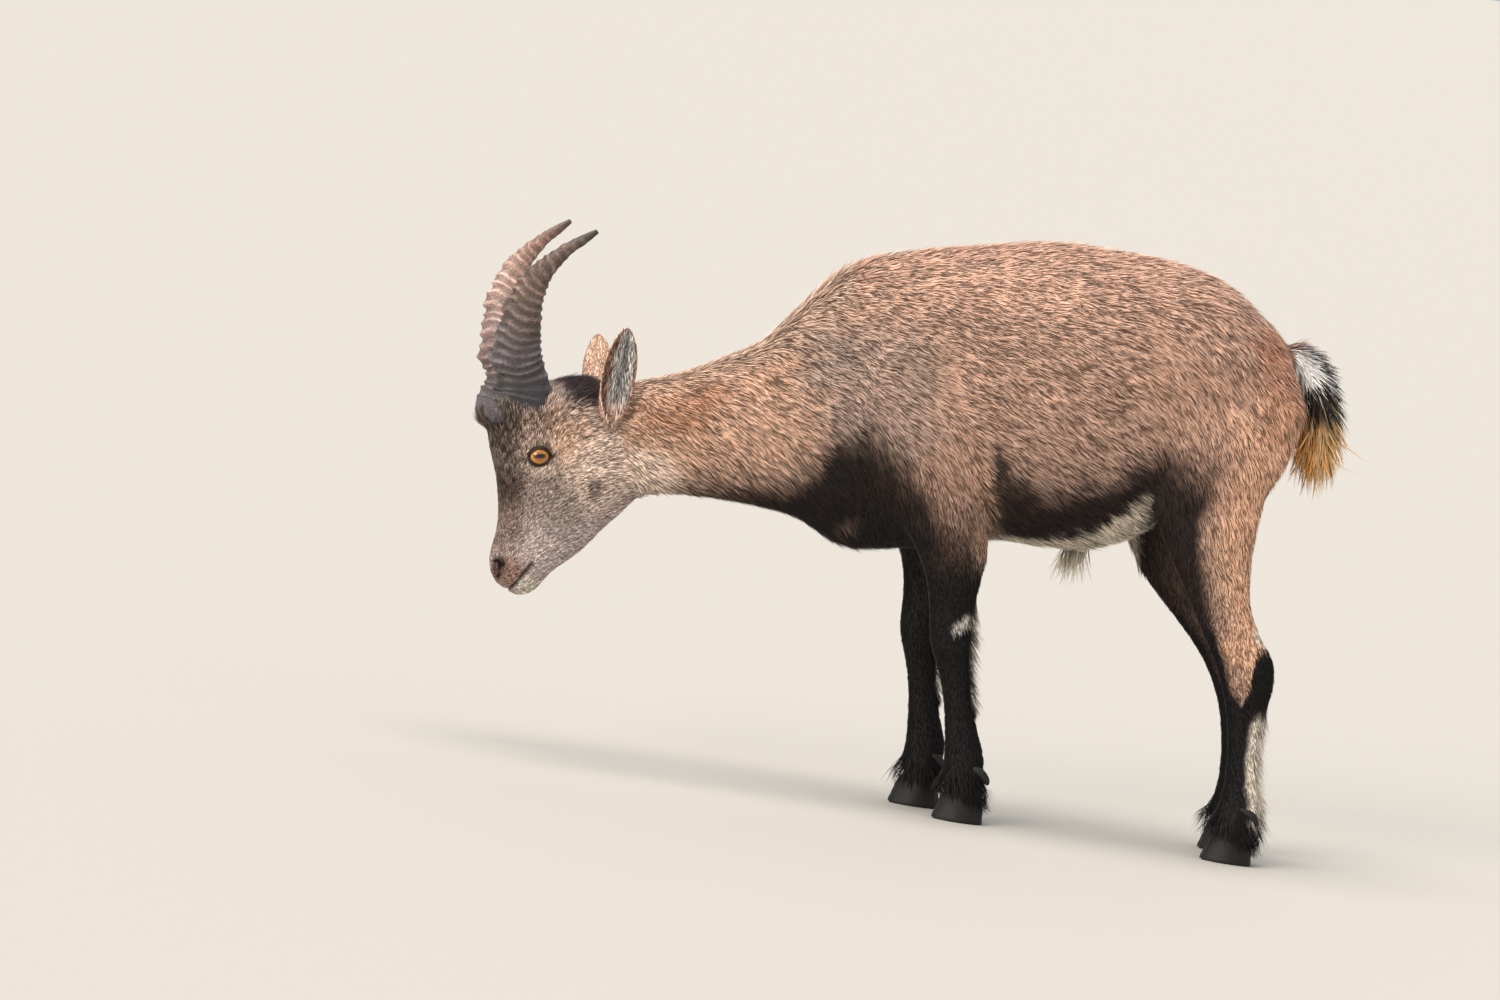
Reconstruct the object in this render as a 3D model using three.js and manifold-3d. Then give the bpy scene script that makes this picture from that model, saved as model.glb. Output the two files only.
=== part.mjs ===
// Alpine ibex, a young male with his head lowered to graze, as a still, life-size museum model.
// Millimetres, +Z up. The head points to -X and the animal's left side is -Y.
// The origin is on the floor, under the middle of the model's outline.
//
// The flesh is lofted from cross-sections. A section is a closed oval through a top and a
// bottom point of the side outline, [u, v], where u runs from head to tail and v is up.
// "half" is half its width, "widest" says how far up it is widest, from 0 to 1, "power" is
// 2 for an ellipse and more for a squarer oval, "below" is the same for its lower part, and
// "y" is its distance from the midline.
import * as THREE from "three";
import { mergeVertices } from "three/addons/utils/BufferGeometryUtils.js";
import Module from "manifold-3d";

const wasm = await Module();
wasm.setup();

const TAU = 2 * Math.PI;
const degrees = THREE.MathUtils.degToRad;
const mix = THREE.MathUtils.lerp;
const clamp = THREE.MathUtils.clamp;
const SIDES = { left: -1, right: 1 };

// Driving dimensions
const PITCH = degrees(9); // the back rises towards the rump
const BODY_LIFT = 22; // from the outline's v = 0 to the floor
const GAP = 0.3; // between neighbouring nodes
const HEAD_TURN = degrees(11); // towards the animal's left
const ATLAS_U = -468; // where the head turns on the neck
const EYE_RADIUS = 15.5;
const LID_THICKNESS = 2.2;

// Materials, one for each finish
const paint = (color, roughness) => new THREE.MeshStandardMaterial({ color, roughness, metalness: 0 });
const MATERIALS = {
  coat: paint("#9a7359", 0.9),
  darkCoat: paint("#2b2324", 0.9),
  horn: paint("#6f645c", 0.65),
  hoof: paint("#2c2c31", 0.5),
  eye: paint("#a8702a", 0.12),
  tailHair: paint("#3f2f26", 0.9),
  paleHair: paint("#d8cfbf", 0.9),
};

// Solids

// A manifold solid from a closed geometry, turned inside out if its faces point in.
function solid(geometry) {
  const bare = geometry.clone().deleteAttribute("normal").deleteAttribute("uv");
  const merged = mergeVertices(bare, 1e-3);
  const vertProperties = merged.attributes.position.array;
  const build = (triVerts) => new wasm.Manifold(new wasm.Mesh({ numProp: 3, vertProperties, triVerts }));
  const corners = Uint32Array.from(merged.index.array);
  const made = build(corners);
  return made.volume() > 0 ? made : build(corners.reverse());
}

// A closed skin over rings of equal length, with a fan over each end.
function skin(rings) {
  const around = rings[0].length;
  const middle = (ring) => [0, 1, 2].map((k) => ring.reduce((sum, p) => sum + p[k], 0) / around);
  const points = [...rings.flat(), middle(rings[0]), middle(rings.at(-1))];
  const first = points.length - 2;
  const last = points.length - 1;
  const base = around * (rings.length - 1);
  const faces = [];
  for (let k = 0; k < around; k++) {
    const next = (k + 1) % around;
    faces.push(first, next, k, last, base + k, base + next);
    for (let row = 0; row < base; row += around)
      faces.push(row + k, row + next, row + around + k, row + next, row + around + next, row + around + k);
  }
  const geometry = new THREE.BufferGeometry();
  geometry.setAttribute("position", new THREE.Float32BufferAttribute(points.flat(), 3));
  geometry.setIndex(faces);
  return solid(geometry);
}

// A geometry as a solid, with each of its points taken to its place.
function placed(geometry, place) {
  const position = geometry.attributes.position;
  for (let i = 0; i < position.count; i++) {
    const point = place([position.getX(i), position.getY(i), position.getZ(i)]);
    position.setXYZ(i, ...point);
  }
  return solid(geometry);
}

const union = (...bodies) => bodies.flat().reduce((whole, body) => whole.add(body));

function largest(body) {
  const pieces = body.decompose();
  return pieces.reduce((best, piece) => (piece.volume() > best.volume() ? piece : best));
}

// What lies on the inner side of every plane, each plane moved out by "grow".
function trimmed(body, planes, grow = 0) {
  return planes.reduce((rest, { normal, point }) => {
    const n = new THREE.Vector3(...normal).normalize();
    return rest.trimByPlane(n.toArray(), n.dot(new THREE.Vector3(...point)) - grow);
  }, body);
}

// A body parted in two by one or more planes, with the gap between the two parts.
function parted(body, planes) {
  const room = solid(new THREE.BoxGeometry(4000, 4000, 4000));
  const inside = trimmed(body, planes, -GAP / 2);
  return [inside, body.subtract(trimmed(room, planes, GAP / 2))];
}

function mesh(name, body, material) {
  const { vertProperties, triVerts } = largest(body).getMesh();
  const geometry = new THREE.BufferGeometry();
  geometry.setAttribute("position", new THREE.BufferAttribute(vertProperties, 3));
  geometry.setIndex(new THREE.BufferAttribute(triVerts, 1));
  geometry.computeVertexNormals();
  const made = new THREE.Mesh(geometry, MATERIALS[material]);
  made.name = name;
  return made;
}

// Lofts

function numbers({ top, bottom, half, widest = 0.5, power = 2, below = power, y = 0 }) {
  return [...top, ...bottom, half, widest, power, below, y];
}

// A Catmull-Rom curve through rows of numbers, at place t counted in rows.
function between(rows, t) {
  const i = clamp(Math.floor(t), 0, rows.length - 2);
  const f = t - i;
  const row = (k) => rows[clamp(k, 0, rows.length - 1)];
  const [a, b, c, d] = [row(i - 1), row(i), row(i + 1), row(i + 2)];
  return b.map((value, k) => {
    const out = (c[k] - a[k]) / 2;
    const into = (d[k] - value) / 2;
    const step = c[k] - value;
    return value + f * (out + f * (3 * step - 2 * out - into + f * (out + into - 2 * step)));
  });
}

const signedPower = (value, power) => Math.sign(value) * Math.abs(value) ** (2 / power);

// How far a swell, such as a muscle, pushes the side out at a point of the side outline.
function swelling({ at, reach, tilt = 0, out }, u, v) {
  const along = (u - at[0]) * Math.cos(tilt) + (v - at[1]) * Math.sin(tilt);
  const across = (v - at[1]) * Math.cos(tilt) - (u - at[0]) * Math.sin(tilt);
  return out * Math.exp(-((along / reach[0]) ** 2) - (across / reach[1]) ** 2);
}

function oval([tu, tv, bu, bv, half, widest, above, below, y], around, swells, grow) {
  const height = Math.hypot(tu - bu, tv - bv);
  return Array.from({ length: around }, (_, k) => {
    const angle = (TAU * k) / around;
    const power = angle < Math.PI ? above : below;
    const lift = signedPower(Math.sin(angle), power);
    const share = widest + lift * (lift > 0 ? 1 - widest : widest);
    const grown = share + (lift * grow) / height;
    const u = mix(bu, tu, grown);
    const v = mix(bv, tv, grown);
    const out = swells.reduce((sum, swell) => sum + swelling(swell, u, v), half + grow);
    return [u, y + out * signedPower(Math.cos(angle), power), v];
  });
}

// A loft through sections. "place" takes a point [u, y, v] to the model's own frame, and
// "grow" makes the loft larger all round.
function loft(sections, { around, steps, place, swells = [], grow = 0 }) {
  const rows = sections.map(numbers);
  const count = (rows.length - 1) * steps;
  const rings = Array.from({ length: count + 1 }, (_, i) => between(rows, i / steps));
  const pushed = (row, from) => {
    const away = [row[0] + row[2] - from[0] - from[2], row[1] + row[3] - from[1] - from[3]];
    const scale = grow / Math.hypot(...away);
    return row.map((value, k) => (k < 4 ? value + away[k % 2] * scale : value));
  };
  const ends = [pushed(rings[0], rings[1]), pushed(rings[count], rings[count - 1])];
  const whole = grow ? [ends[0], ...rings.slice(1, -1), ends[1]] : rings;
  return skin(whole.map((row) => oval(row, around, swells, grow).map(place)));
}

// An ellipsoid with three half-axes, tilted about the sideways axis.
function lump([u, y, v], halves, tilt, place, grow = 0, around = 12) {
  const geometry = new THREE.SphereGeometry(1, around, Math.round(around * 0.7));
  geometry.rotateX(Math.PI / 2);
  geometry.scale(...halves.map((half) => half + grow));
  geometry.rotateY(tilt);
  geometry.translate(u, y, v);
  return placed(geometry, place);
}

// Frames

// From the body's outline to the floor frame.
function inBody([u, y, v]) {
  const x = u * Math.cos(PITCH) - v * Math.sin(PITCH);
  return [x, y, u * Math.sin(PITCH) + v * Math.cos(PITCH) + BODY_LIFT];
}

// The head is drawn straight ahead and then turned about the atlas.
function inHead([u, y, v]) {
  const away = u - ATLAS_U;
  const turned = ATLAS_U + away * Math.cos(HEAD_TURN) - y * Math.sin(HEAD_TURN);
  return inBody([turned, away * Math.sin(HEAD_TURN) + y * Math.cos(HEAD_TURN), v]);
}

const mirrored = ([u, y, v], sign) => [u, sign * y, v];

// A plane through two points of the side outline, with its inner side on the left of the
// way from the first to the second.
function sidePlane([u1, v1], [u2, v2]) {
  const point = inBody([u1, 0, v1]);
  const tip = inBody([u1 - (v2 - v1), 0, v1 + (u2 - u1)]);
  return { point, normal: tip.map((value, k) => value - point[k]) };
}

// Neck and torso

const NECK = [
  { top: [-500, 545], bottom: [-452, 392], half: 40 },
  { top: [-440, 562], bottom: [-404, 399], half: 46, widest: 0.5 },
  { top: [-384, 571], bottom: [-358, 396], half: 50, widest: 0.48 },
  { top: [-332, 590], bottom: [-312, 389], half: 55, widest: 0.46 },
  { top: [-280, 611], bottom: [-273, 380], half: 61, widest: 0.44 },
  { top: [-228, 656], bottom: [-234, 369], half: 69, widest: 0.42 },
  { top: [-182, 699], bottom: [-199, 343], half: 79, widest: 0.4 },
  { top: [-136, 716], bottom: [-162, 331], half: 89, widest: 0.4 },
];

const TORSO = [
  { top: [-196, 662], bottom: [-206, 352], half: 70, widest: 0.4 },
  { top: [-162, 709], bottom: [-182, 333], half: 83, widest: 0.4 },
  { top: [-124, 720], bottom: [-136, 328], half: 94, widest: 0.41 },
  { top: [-72, 727], bottom: [-78, 330], half: 102, widest: 0.42 },
  { top: [-20, 731], bottom: [-20, 337], half: 109, widest: 0.42, below: 2.1 },
  { top: [32, 734], bottom: [32, 340], half: 116, widest: 0.43, below: 2.2 },
  { top: [84, 736], bottom: [84, 331], half: 123, widest: 0.44, below: 2.2 },
  { top: [136, 733], bottom: [136, 328], half: 126, widest: 0.46, below: 2.2 },
  { top: [188, 724], bottom: [182, 333], half: 125, widest: 0.49, below: 2.2 },
  { top: [240, 714], bottom: [221, 351], half: 120, widest: 0.52, below: 2.1 },
  { top: [292, 699], bottom: [260, 376], half: 114, widest: 0.55 },
  { top: [338, 675], bottom: [306, 396], half: 107, widest: 0.57 },
  { top: [373, 641], bottom: [354, 420], half: 97, widest: 0.57 },
  { top: [399, 614], bottom: [394, 456], half: 80, widest: 0.56 },
  { top: [413, 586], bottom: [414, 500], half: 52, widest: 0.55 },
];

const MUSCLES = [
  { at: [-88, 600], reach: [26, 90], tilt: degrees(-12), out: 6 }, // ridge of the shoulder blade
  { at: [-140, 470], reach: [40, 60], out: 8 }, // point of the shoulder
  { at: [24, 440], reach: [26, 90], out: -7 }, // hollow behind the elbow
  { at: [226, 560], reach: [34, 90], tilt: degrees(10), out: -9 }, // hollow of the flank
  { at: [262, 655], reach: [26, 20], out: 7 }, // hip bone
  { at: [330, 560], reach: [70, 80], out: 4 }, // rump
  { at: [-330, 470], reach: [120, 22], tilt: degrees(-8), out: -3 }, // groove of the throat
];

const neck = (grow) => loft(NECK, { around: 22, steps: 2, place: inBody, swells: MUSCLES, grow });
const torso = (grow) => loft(TORSO, { around: 26, steps: 2, place: inBody, swells: MUSCLES, grow });

// Legs. Each leg is drawn as the left one stands and is moved below its "top" level, where
// "sole" is the level of the ground under it. "step" moves the foot along and "spread" moves it
// sideways. "flex" moves the leg along near a joint: how far, its place down the leg, its reach.

const FORELEG = [
  { top: [-118, 640], bottom: [-58, 640], half: 20, y: 62 },
  { top: [-154, 575], bottom: [-34, 575], half: 32, y: 67 },
  { top: [-168, 510], bottom: [-12, 525], half: 38, y: 71 },
  { top: [-158, 452], bottom: [6, 462], half: 41, y: 73 },
  { top: [-124, 398], bottom: [14, 408], half: 40, y: 72 },
  { top: [-94, 356], bottom: [17, 360], half: 35, y: 69 },
  { top: [-74, 318], bottom: [17, 324], half: 29, y: 66 },
  { top: [-64, 280], bottom: [8, 283], half: 25, y: 64 },
  { top: [-61, 247], bottom: [4, 249], half: 24.5, y: 62 },
  { top: [-58, 220], bottom: [4, 221], half: 24, y: 61 },
  { top: [-48, 192], bottom: [3, 193], half: 20, y: 60 },
  { top: [-38, 152], bottom: [8, 155], half: 18, y: 60 },
  { top: [-34, 112], bottom: [16, 115], half: 20, y: 60 },
  { top: [-33, 80], bottom: [27, 80], half: 25, y: 60 },
  { top: [-36, 54], bottom: [26, 50], half: 26, y: 60 },
  { top: [-41, 26], bottom: [24, 18], half: 27, y: 60 },
  { top: [-42, 8], bottom: [24, 2], half: 27, y: 60 },
];

const HINDLEG = [
  { top: [280, 634], bottom: [350, 622], half: 16, y: 58 },
  { top: [244, 584], bottom: [413, 580], half: 30, y: 62 },
  { top: [229, 545], bottom: [428, 541], half: 38, y: 67 },
  { top: [216, 503], bottom: [426, 500], half: 44, y: 71 },
  { top: [208, 440], bottom: [407, 450], half: 44, y: 72 },
  { top: [220, 385], bottom: [376, 398], half: 36, y: 74 },
  { top: [237, 338], bottom: [362, 340], half: 32, y: 74 },
  { top: [254, 292], bottom: [356, 293], half: 28, y: 73 },
  { top: [273, 240], bottom: [356, 244], half: 24, y: 71 },
  { top: [289, 197], bottom: [371, 202], half: 22, y: 69 },
  { top: [303, 157], bottom: [387, 166], half: 23, y: 67 },
  { top: [312, 118], bottom: [384, 123], half: 22, y: 66 },
  { top: [317, 78], bottom: [371, 80], half: 19, y: 66 },
  { top: [317, 32], bottom: [365, 34], half: 17.5, y: 66 },
  { top: [313, -8], bottom: [365, -7], half: 19, y: 66 },
  { top: [304, -38], bottom: [369, -40], half: 24, y: 66 },
  { top: [294, -62], bottom: [362, -66], half: 26, y: 66 },
  { top: [288, -90], bottom: [354, -98], half: 27, y: 66 },
  { top: [286, -108], bottom: [352, -114], half: 27, y: 66 },
];

const FORE = { sections: FORELEG, joint: [-28, 236] };
const HIND = { sections: HINDLEG, joint: [345, 180] };
const LEGS = {
  foreleg_left: { ...FORE, side: "left", top: 370, sole: 0, step: -16, spread: 0, flex: [0, 0.5, 0.3] },
  foreleg_right: { ...FORE, side: "right", top: 430, sole: 0, step: -64, spread: 2, flex: [-6, 0.5, 0.3] },
  hindleg_left: { ...HIND, side: "left", top: 430, sole: -114, step: -4, spread: 4, flex: [2, 0.5, 0.3] },
  hindleg_right: { ...HIND, side: "right", top: 500, sole: -114, step: 8, spread: 6, flex: [-52, 0.3, 0.2] },
};

// The middle of a leg's foot in the outline.
function footAt({ sections }) {
  const { top, bottom } = sections.at(-1);
  return (top[0] + bottom[0]) / 2;
}

// From a leg's outline to the floor frame, with the foot brought to the floor.
function inLeg(leg) {
  const sign = SIDES[leg.side];
  return ([u, y, v]) => {
    const down = clamp((leg.top - v) / (leg.top - leg.sole), 0, 1.2);
    const [x, , z] = inBody([u, y, v]);
    const [, , ground] = inBody([footAt(leg), y, leg.sole]);
    const [bend, place, reach] = leg.flex;
    const along = leg.step * down + bend * Math.exp(-(((down - place) / reach) ** 2));
    return [x + along, sign * (y + leg.spread * down), z - ground * down];
  };
}

const legFlesh = (leg, grow) => loft(leg.sections, { around: 14, steps: 2, place: inLeg(leg), grow });

// Head

const HEAD = [
  { top: [-478, 548], bottom: [-428, 398], half: 38 },
  { top: [-510, 559], bottom: [-446, 392], half: 44, widest: 0.55 },
  { top: [-546, 553], bottom: [-466, 374], half: 52, widest: 0.66, power: 2.8, below: 2 },
  { top: [-590, 537], bottom: [-486, 357], half: 54, widest: 0.7, power: 3.8, below: 2 },
  { top: [-630, 511], bottom: [-502, 340], half: 51, widest: 0.72, power: 3.8, below: 2 },
  { top: [-635, 476], bottom: [-519, 325], half: 41, widest: 0.7, power: 2.8, below: 2 },
  { top: [-628, 438], bottom: [-537, 314], half: 33, widest: 0.62, power: 2.3 },
  { top: [-625, 400], bottom: [-551, 305], half: 29, widest: 0.56, power: 2.3 },
  { top: [-627, 366], bottom: [-560, 296], half: 26, widest: 0.54, power: 2.2 },
  { top: [-634, 343], bottom: [-568, 287], half: 25.5, widest: 0.54, power: 2.1 },
  { top: [-638, 325], bottom: [-577, 279], half: 25, widest: 0.54 },
  { top: [-636, 305], bottom: [-588, 275], half: 20, widest: 0.52 },
  { top: [-627, 291], bottom: [-600, 274], half: 12 },
];

const FACE = [
  { at: [-580, 462], reach: [26, 24], out: 5 }, // eye socket
  { at: [-514, 424], reach: [34, 30], tilt: degrees(40), out: 5 }, // cheek
  { at: [-600, 410], reach: [18, 22], out: -3 }, // hollow below the eye
  { at: [-628, 320], reach: [10, 18], out: 3.5 }, // wing of the nostril
  { at: [-600, 302], reach: [20, 9], tilt: degrees(-48), out: 2.5 }, // upper lip
];

const EYE = { at: [-579, 44, 460], gaze: [-0.2, 0.98, 0], opening: [29, 20], depth: 30, around: 10 };
const NOSTRIL = { at: [-632, 17, 315], half: [5.5, 8, 15], tilt: degrees(-16) };
const MOUTH = {
  line: [[-628, 264], [-616, 281], [-606, 293], [-596, 305], [-584, 318]],
  slant: [-0.7, 0.7], // square to the line
  open: 4,
  corner: 1,
  width: 80,
};

// Rounded seats on the skull: place, half-axes and tilt of each one on the left side
const HORN_SEAT = { at: [-600, 27, 516], half: [46, 25, 24], tilt: degrees(-16) };
const EAR_SEAT = { at: [-486, 32, 490], half: [26, 13, 22], tilt: 0 };
const FORELOCK = { at: [-630, 0, 508], half: [18, 32, 18], tilt: degrees(30) };

// The frame of an eye: its gaze out of the head, its long axis along the lids.
function eyeFrame(sign) {
  const out = new THREE.Vector3(...mirrored(EYE.gaze, sign)).normalize();
  const along = new THREE.Vector3(1, 0, 0.04).addScaledVector(out, -out.x).normalize();
  const across = new THREE.Vector3().crossVectors(out, along);
  return new THREE.Matrix4().makeBasis(along, across, out).setPosition(...mirrored(EYE.at, sign));
}

function eyeBall(sign, radius) {
  const ball = new THREE.SphereGeometry(radius, EYE.around, Math.round(EYE.around * 0.7));
  return placed(ball.rotateX(Math.PI / 2).applyMatrix4(eyeFrame(sign)), inHead);
}

// The almond between the lids, as a short prism in front of the eye.
function lidOpening(sign) {
  const [long, high] = EYE.opening;
  const bulge = (high * 2) / 3; // a Bezier curve reaches three quarters of the way to its handles
  const shape = new THREE.Shape();
  shape.moveTo(-long / 2, 0);
  shape.bezierCurveTo(-long / 4, bulge, long / 4, bulge, long / 2, 0);
  shape.bezierCurveTo(long / 4, -bulge, -long / 4, -bulge, -long / 2, 0);
  const prism = new THREE.ExtrudeGeometry(shape, { depth: EYE.depth, bevelEnabled: false, curveSegments: 6 });
  return placed(prism.applyMatrix4(eyeFrame(sign)), inHead);
}

// A slit that parts the lips, as wide as "open" in front and thin at the corner.
function mouthSlit() {
  const { line, slant, open, corner, width } = MOUTH;
  const edge = (sign) =>
    line.map(([u, v], i) => {
      const half = (sign * mix(open, corner, i / (line.length - 1))) / 2;
      return new THREE.Vector2(u + half * slant[0], v + half * slant[1]);
    });
  const shape = new THREE.Shape([...edge(1), ...edge(-1).reverse()]);
  const slab = new THREE.ExtrudeGeometry(shape, { depth: width, bevelEnabled: false });
  slab.rotateX(Math.PI / 2);
  slab.translate(0, width / 2, 0);
  return placed(slab, inHead);
}

function headFlesh(grow) {
  const skull = loft(HEAD, { around: 26, steps: 2, place: inHead, swells: FACE, grow });
  const seat = ({ at, half, tilt }, sign) => lump(mirrored(at, sign), half, tilt, inHead, grow);
  const pieces = [skull, seat(FORELOCK, 1)];
  for (const sign of Object.values(SIDES)) {
    const lids = eyeBall(sign, EYE_RADIUS + LID_THICKNESS + grow);
    pieces.push(seat(HORN_SEAT, sign), seat(EAR_SEAT, sign), lids);
  }
  return union(pieces);
}

function headHoles() {
  const holes = [mouthSlit()];
  for (const sign of Object.values(SIDES)) {
    holes.push(
      eyeBall(sign, EYE_RADIUS + GAP),
      lidOpening(sign),
      lump(mirrored(NOSTRIL.at, sign), NOSTRIL.half, NOSTRIL.tilt, inHead, 0, 10),
    );
  }
  return union(holes);
}

// Horns: an oval tube along a curve, with rings all round and knobs in front.

const HORN = {
  // place, half depth and half width along the horn
  path: [
    [-602, 27, 512, 46, 24.5],
    [-600, 27, 530, 43, 24.5],
    [-598, 28, 548, 37, 24],
    [-600.5, 31, 568, 32, 23.5],
    [-605, 36, 588, 30.5, 23],
    [-606, 41, 609, 29, 22],
    [-604, 47, 629, 26.5, 20.5],
    [-601.5, 52, 649, 23.5, 18],
    [-596, 57, 668, 20, 15.5],
    [-587.5, 61, 687, 17, 13.5],
    [-576, 65, 703, 13.5, 11],
    [-561, 68, 717, 10.5, 9],
    [-544.5, 71, 730, 7.6, 6.6],
    [-527.5, 74, 740, 5, 4.6],
    [-509, 76, 751, 1.4, 1.4],
  ],
  rise: { left: 0, right: 6 }, // how much higher each tip stands
  steps: 4,
  around: 8,
  ringHeight: 1.1,
  // place along the path and height of each knob
  knobs: [[4, 7], [5.6, 2.5], [7.1, 4.5], [8.3, 3], [9.4, 2]],
  knobReach: 0.42,
};

// How far the knobs stand out in front at a place along the horn.
const knobAt = (t) =>
  HORN.knobs.reduce((sum, [at, height]) => sum + height * Math.exp(-(((t - at) / HORN.knobReach) ** 2)), 0);

function hornBody(side) {
  const sign = SIDES[side];
  const last = HORN.path.length - 1;
  const rows = HORN.path.map(([u, y, v, deep, wide], i) => {
    const lift = (HORN.rise[side] * i) / last;
    return [u, sign * y, v + lift, deep, wide];
  });
  const count = last * HORN.steps;
  const at = (i) => between(rows, clamp(i, 0, count) / HORN.steps);
  const rings = Array.from({ length: count + 1 }, (_, i) => {
    const [u, y, v, deep, wide] = at(i);
    const before = new THREE.Vector3(...at(i - 1));
    const along = new THREE.Vector3(...at(i + 1)).sub(before).normalize();
    const aside = new THREE.Vector3(0, 1, 0).projectOnPlane(along).normalize();
    const back = new THREE.Vector3().crossVectors(aside, along);
    const ring = HORN.ringHeight * (i % 2 ? 1 : -0.5) * Math.min(1, deep / 20);
    const knob = knobAt(i / HORN.steps);
    return Array.from({ length: HORN.around }, (_, k) => {
      const angle = (TAU * k) / HORN.around;
      const front = knob * Math.max(-Math.cos(angle), 0) ** 2;
      const point = new THREE.Vector3(u, y, v)
        .addScaledVector(back, (deep + ring + front) * signedPower(Math.cos(angle), 2.2))
        .addScaledVector(aside, (wide + ring) * signedPower(Math.sin(angle), 2.2));
      return inHead(point.toArray());
    });
  });
  return skin(rings);
}

// Ears: a leaf-shaped cup. Each section is a curved strip, almost a tube at the root.

const EAR = {
  root: [-484, 38, 500],
  tips: { left: [-469, 76, 624], right: [-470, 82, 607] },
  facing: [-0.1, 1, 0],
  thick: 3.2,
  across: 7, // points across a strip
  // share of the length, half width, cup depth and half angle of the strip in degrees
  strips: [
    [-0.06, 9, 9, 172],
    [0.03, 13.5, 13.5, 158],
    [0.12, 17, 15, 130],
    [0.24, 20.5, 15, 106],
    [0.41, 22.5, 14, 90],
    [0.58, 22.5, 12.5, 84],
    [0.73, 20, 10, 80],
    [0.86, 15, 7.5, 78],
    [0.95, 9, 5.5, 76],
    [1, 4, 4, 74],
  ],
};

function earBody(side) {
  const sign = SIDES[side];
  const root = new THREE.Vector3(...mirrored(EAR.root, sign));
  const tip = new THREE.Vector3(...mirrored(EAR.tips[side], sign));
  const along = tip.clone().sub(root).normalize();
  const facing = new THREE.Vector3(...mirrored(EAR.facing, sign)).projectOnPlane(along).normalize();
  const aside = new THREE.Vector3().crossVectors(along, facing);
  const rings = EAR.strips.map(([share, wide, deep, half]) => {
    const centre = root.clone().lerp(tip, share);
    const curve = (inset, flip) =>
      Array.from({ length: EAR.across }, (_, k) => {
        const angle = degrees(flip * mix(-half, half, k / (EAR.across - 1)));
        const point = centre
          .clone()
          .addScaledVector(aside, (wide - inset) * Math.sin(angle))
          .addScaledVector(facing, -(deep - inset) * Math.cos(angle));
        return inHead(point.toArray());
      });
    return [...curve(0, 1), ...curve(Math.min(EAR.thick, deep * 0.6), -1)];
  });
  return skin(rings);
}

// Long hair: tapered, flat locks

// A repeatable draw between 0 and 1.
function draws(seed) {
  let state = seed;
  return () => {
    state = (state * 16807) % 2147483647;
    return state / 2147483647;
  };
}

// A lock leaves its root along "out", bends towards "fall" and ends in a point. Its section
// is a flat triangle with its ridge outside, and it is widest a third of the way along.
const LOCK = { segments: 3, ridge: 0.35, tip: 0.12 };

function lock(root, out, fall, length, width) {
  const start = new THREE.Vector3(...out).normalize();
  const end = new THREE.Vector3(...fall).normalize();
  const flat = new THREE.Vector3().crossVectors(start, end).normalize();
  const spot = new THREE.Vector3(...root);
  const rings = Array.from({ length: LOCK.segments + 1 }, (_, i) => {
    const share = i / LOCK.segments;
    const heading = start.clone().lerp(end, Math.sqrt(share)).normalize();
    if (i) spot.addScaledVector(heading, length / LOCK.segments);
    const thin = new THREE.Vector3().crossVectors(heading, flat);
    const half = (width / 2) * Math.max(Math.sqrt(1 - share) * (1 + share * 0.7), LOCK.tip);
    const section = [[1, -LOCK.ridge], [0, LOCK.ridge], [-1, -LOCK.ridge]];
    return section.map(([a, b]) => {
      const corner = spot.clone().addScaledVector(flat, a * half).addScaledVector(thin, b * half);
      return inBody(corner.toArray());
    });
  });
  return skin(rings);
}

// Tail: the dock, and tiers of locks round it from its root to its tip

const DOCK = [
  { top: [376, 622], bottom: [384, 566], half: 22 },
  { top: [404, 607], bottom: [404, 566], half: 22 },
  { top: [430, 598], bottom: [418, 556], half: 20 },
  { top: [452, 578], bottom: [424, 540], half: 20 },
  { top: [462, 546], bottom: [428, 518], half: 19 },
  { top: [464, 512], bottom: [430, 494], half: 18 },
  { top: [460, 480], bottom: [434, 470], half: 15 },
  { top: [452, 458], bottom: [442, 452], half: 7 },
];

// Each tier: place along the dock in sections, how far the locks point out and how far up at
// their root, how far out they end, their length, their width and their number.
const TIERS = [
  [1.9, 0.6, 0.5, 1.2, 30, 20, 2],
  [2.6, 1.0, 0.2, 0.9, 40, 22, 3],
  [3.4, 1.0, -0.1, 0.7, 48, 24, 4],
  [4.2, 0.9, -0.5, 0.6, 58, 25, 5],
  [5.0, 0.8, -0.9, 0.5, 74, 26, 5],
  [5.7, 0.6, -1.1, 0.4, 80, 27, 5],
  [6.4, 0.3, -1.3, 0.2, 70, 24, 2],
];
// How far round the dock the first and the full tiers reach on each side, in half turns, and
// over how many sections they widen.
const SPREAD = { first: 0.3, full: 0.74, over: 3 };

function tailBody() {
  const draw = draws(11);
  const rows = DOCK.map(numbers);
  const pieces = [loft(DOCK, { around: 10, steps: 1, place: inBody })];
  for (const [at, outward, lift, ending, length, width, count] of TIERS) {
    const [tu, tv, bu, bv, half] = between(rows, at);
    const turn = mix(SPREAD.first, SPREAD.full, clamp((at - TIERS[0][0]) / SPREAD.over, 0, 1)) * Math.PI;
    for (let k = 0; k < count; k++) {
      const angle = mix(-turn, turn, k / (count - 1)) + (draw() - 0.5) * 0.5;
      const back = Math.cos(angle);
      const aside = Math.sin(angle);
      const depth = 0.5 + 0.28 * back;
      const root = [mix(bu, tu, depth), half * 0.55 * aside, mix(bv, tv, depth)];
      const out = [outward * back, outward * 0.8 * aside, lift];
      const fall = [ending * back, 0.3 * aside, -1];
      pieces.push(lock(root, out, fall, length * mix(0.85, 1.12, draw()), width));
    }
  }
  return union(pieces);
}

// The tuft of pale hair at the end of the sheath

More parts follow.
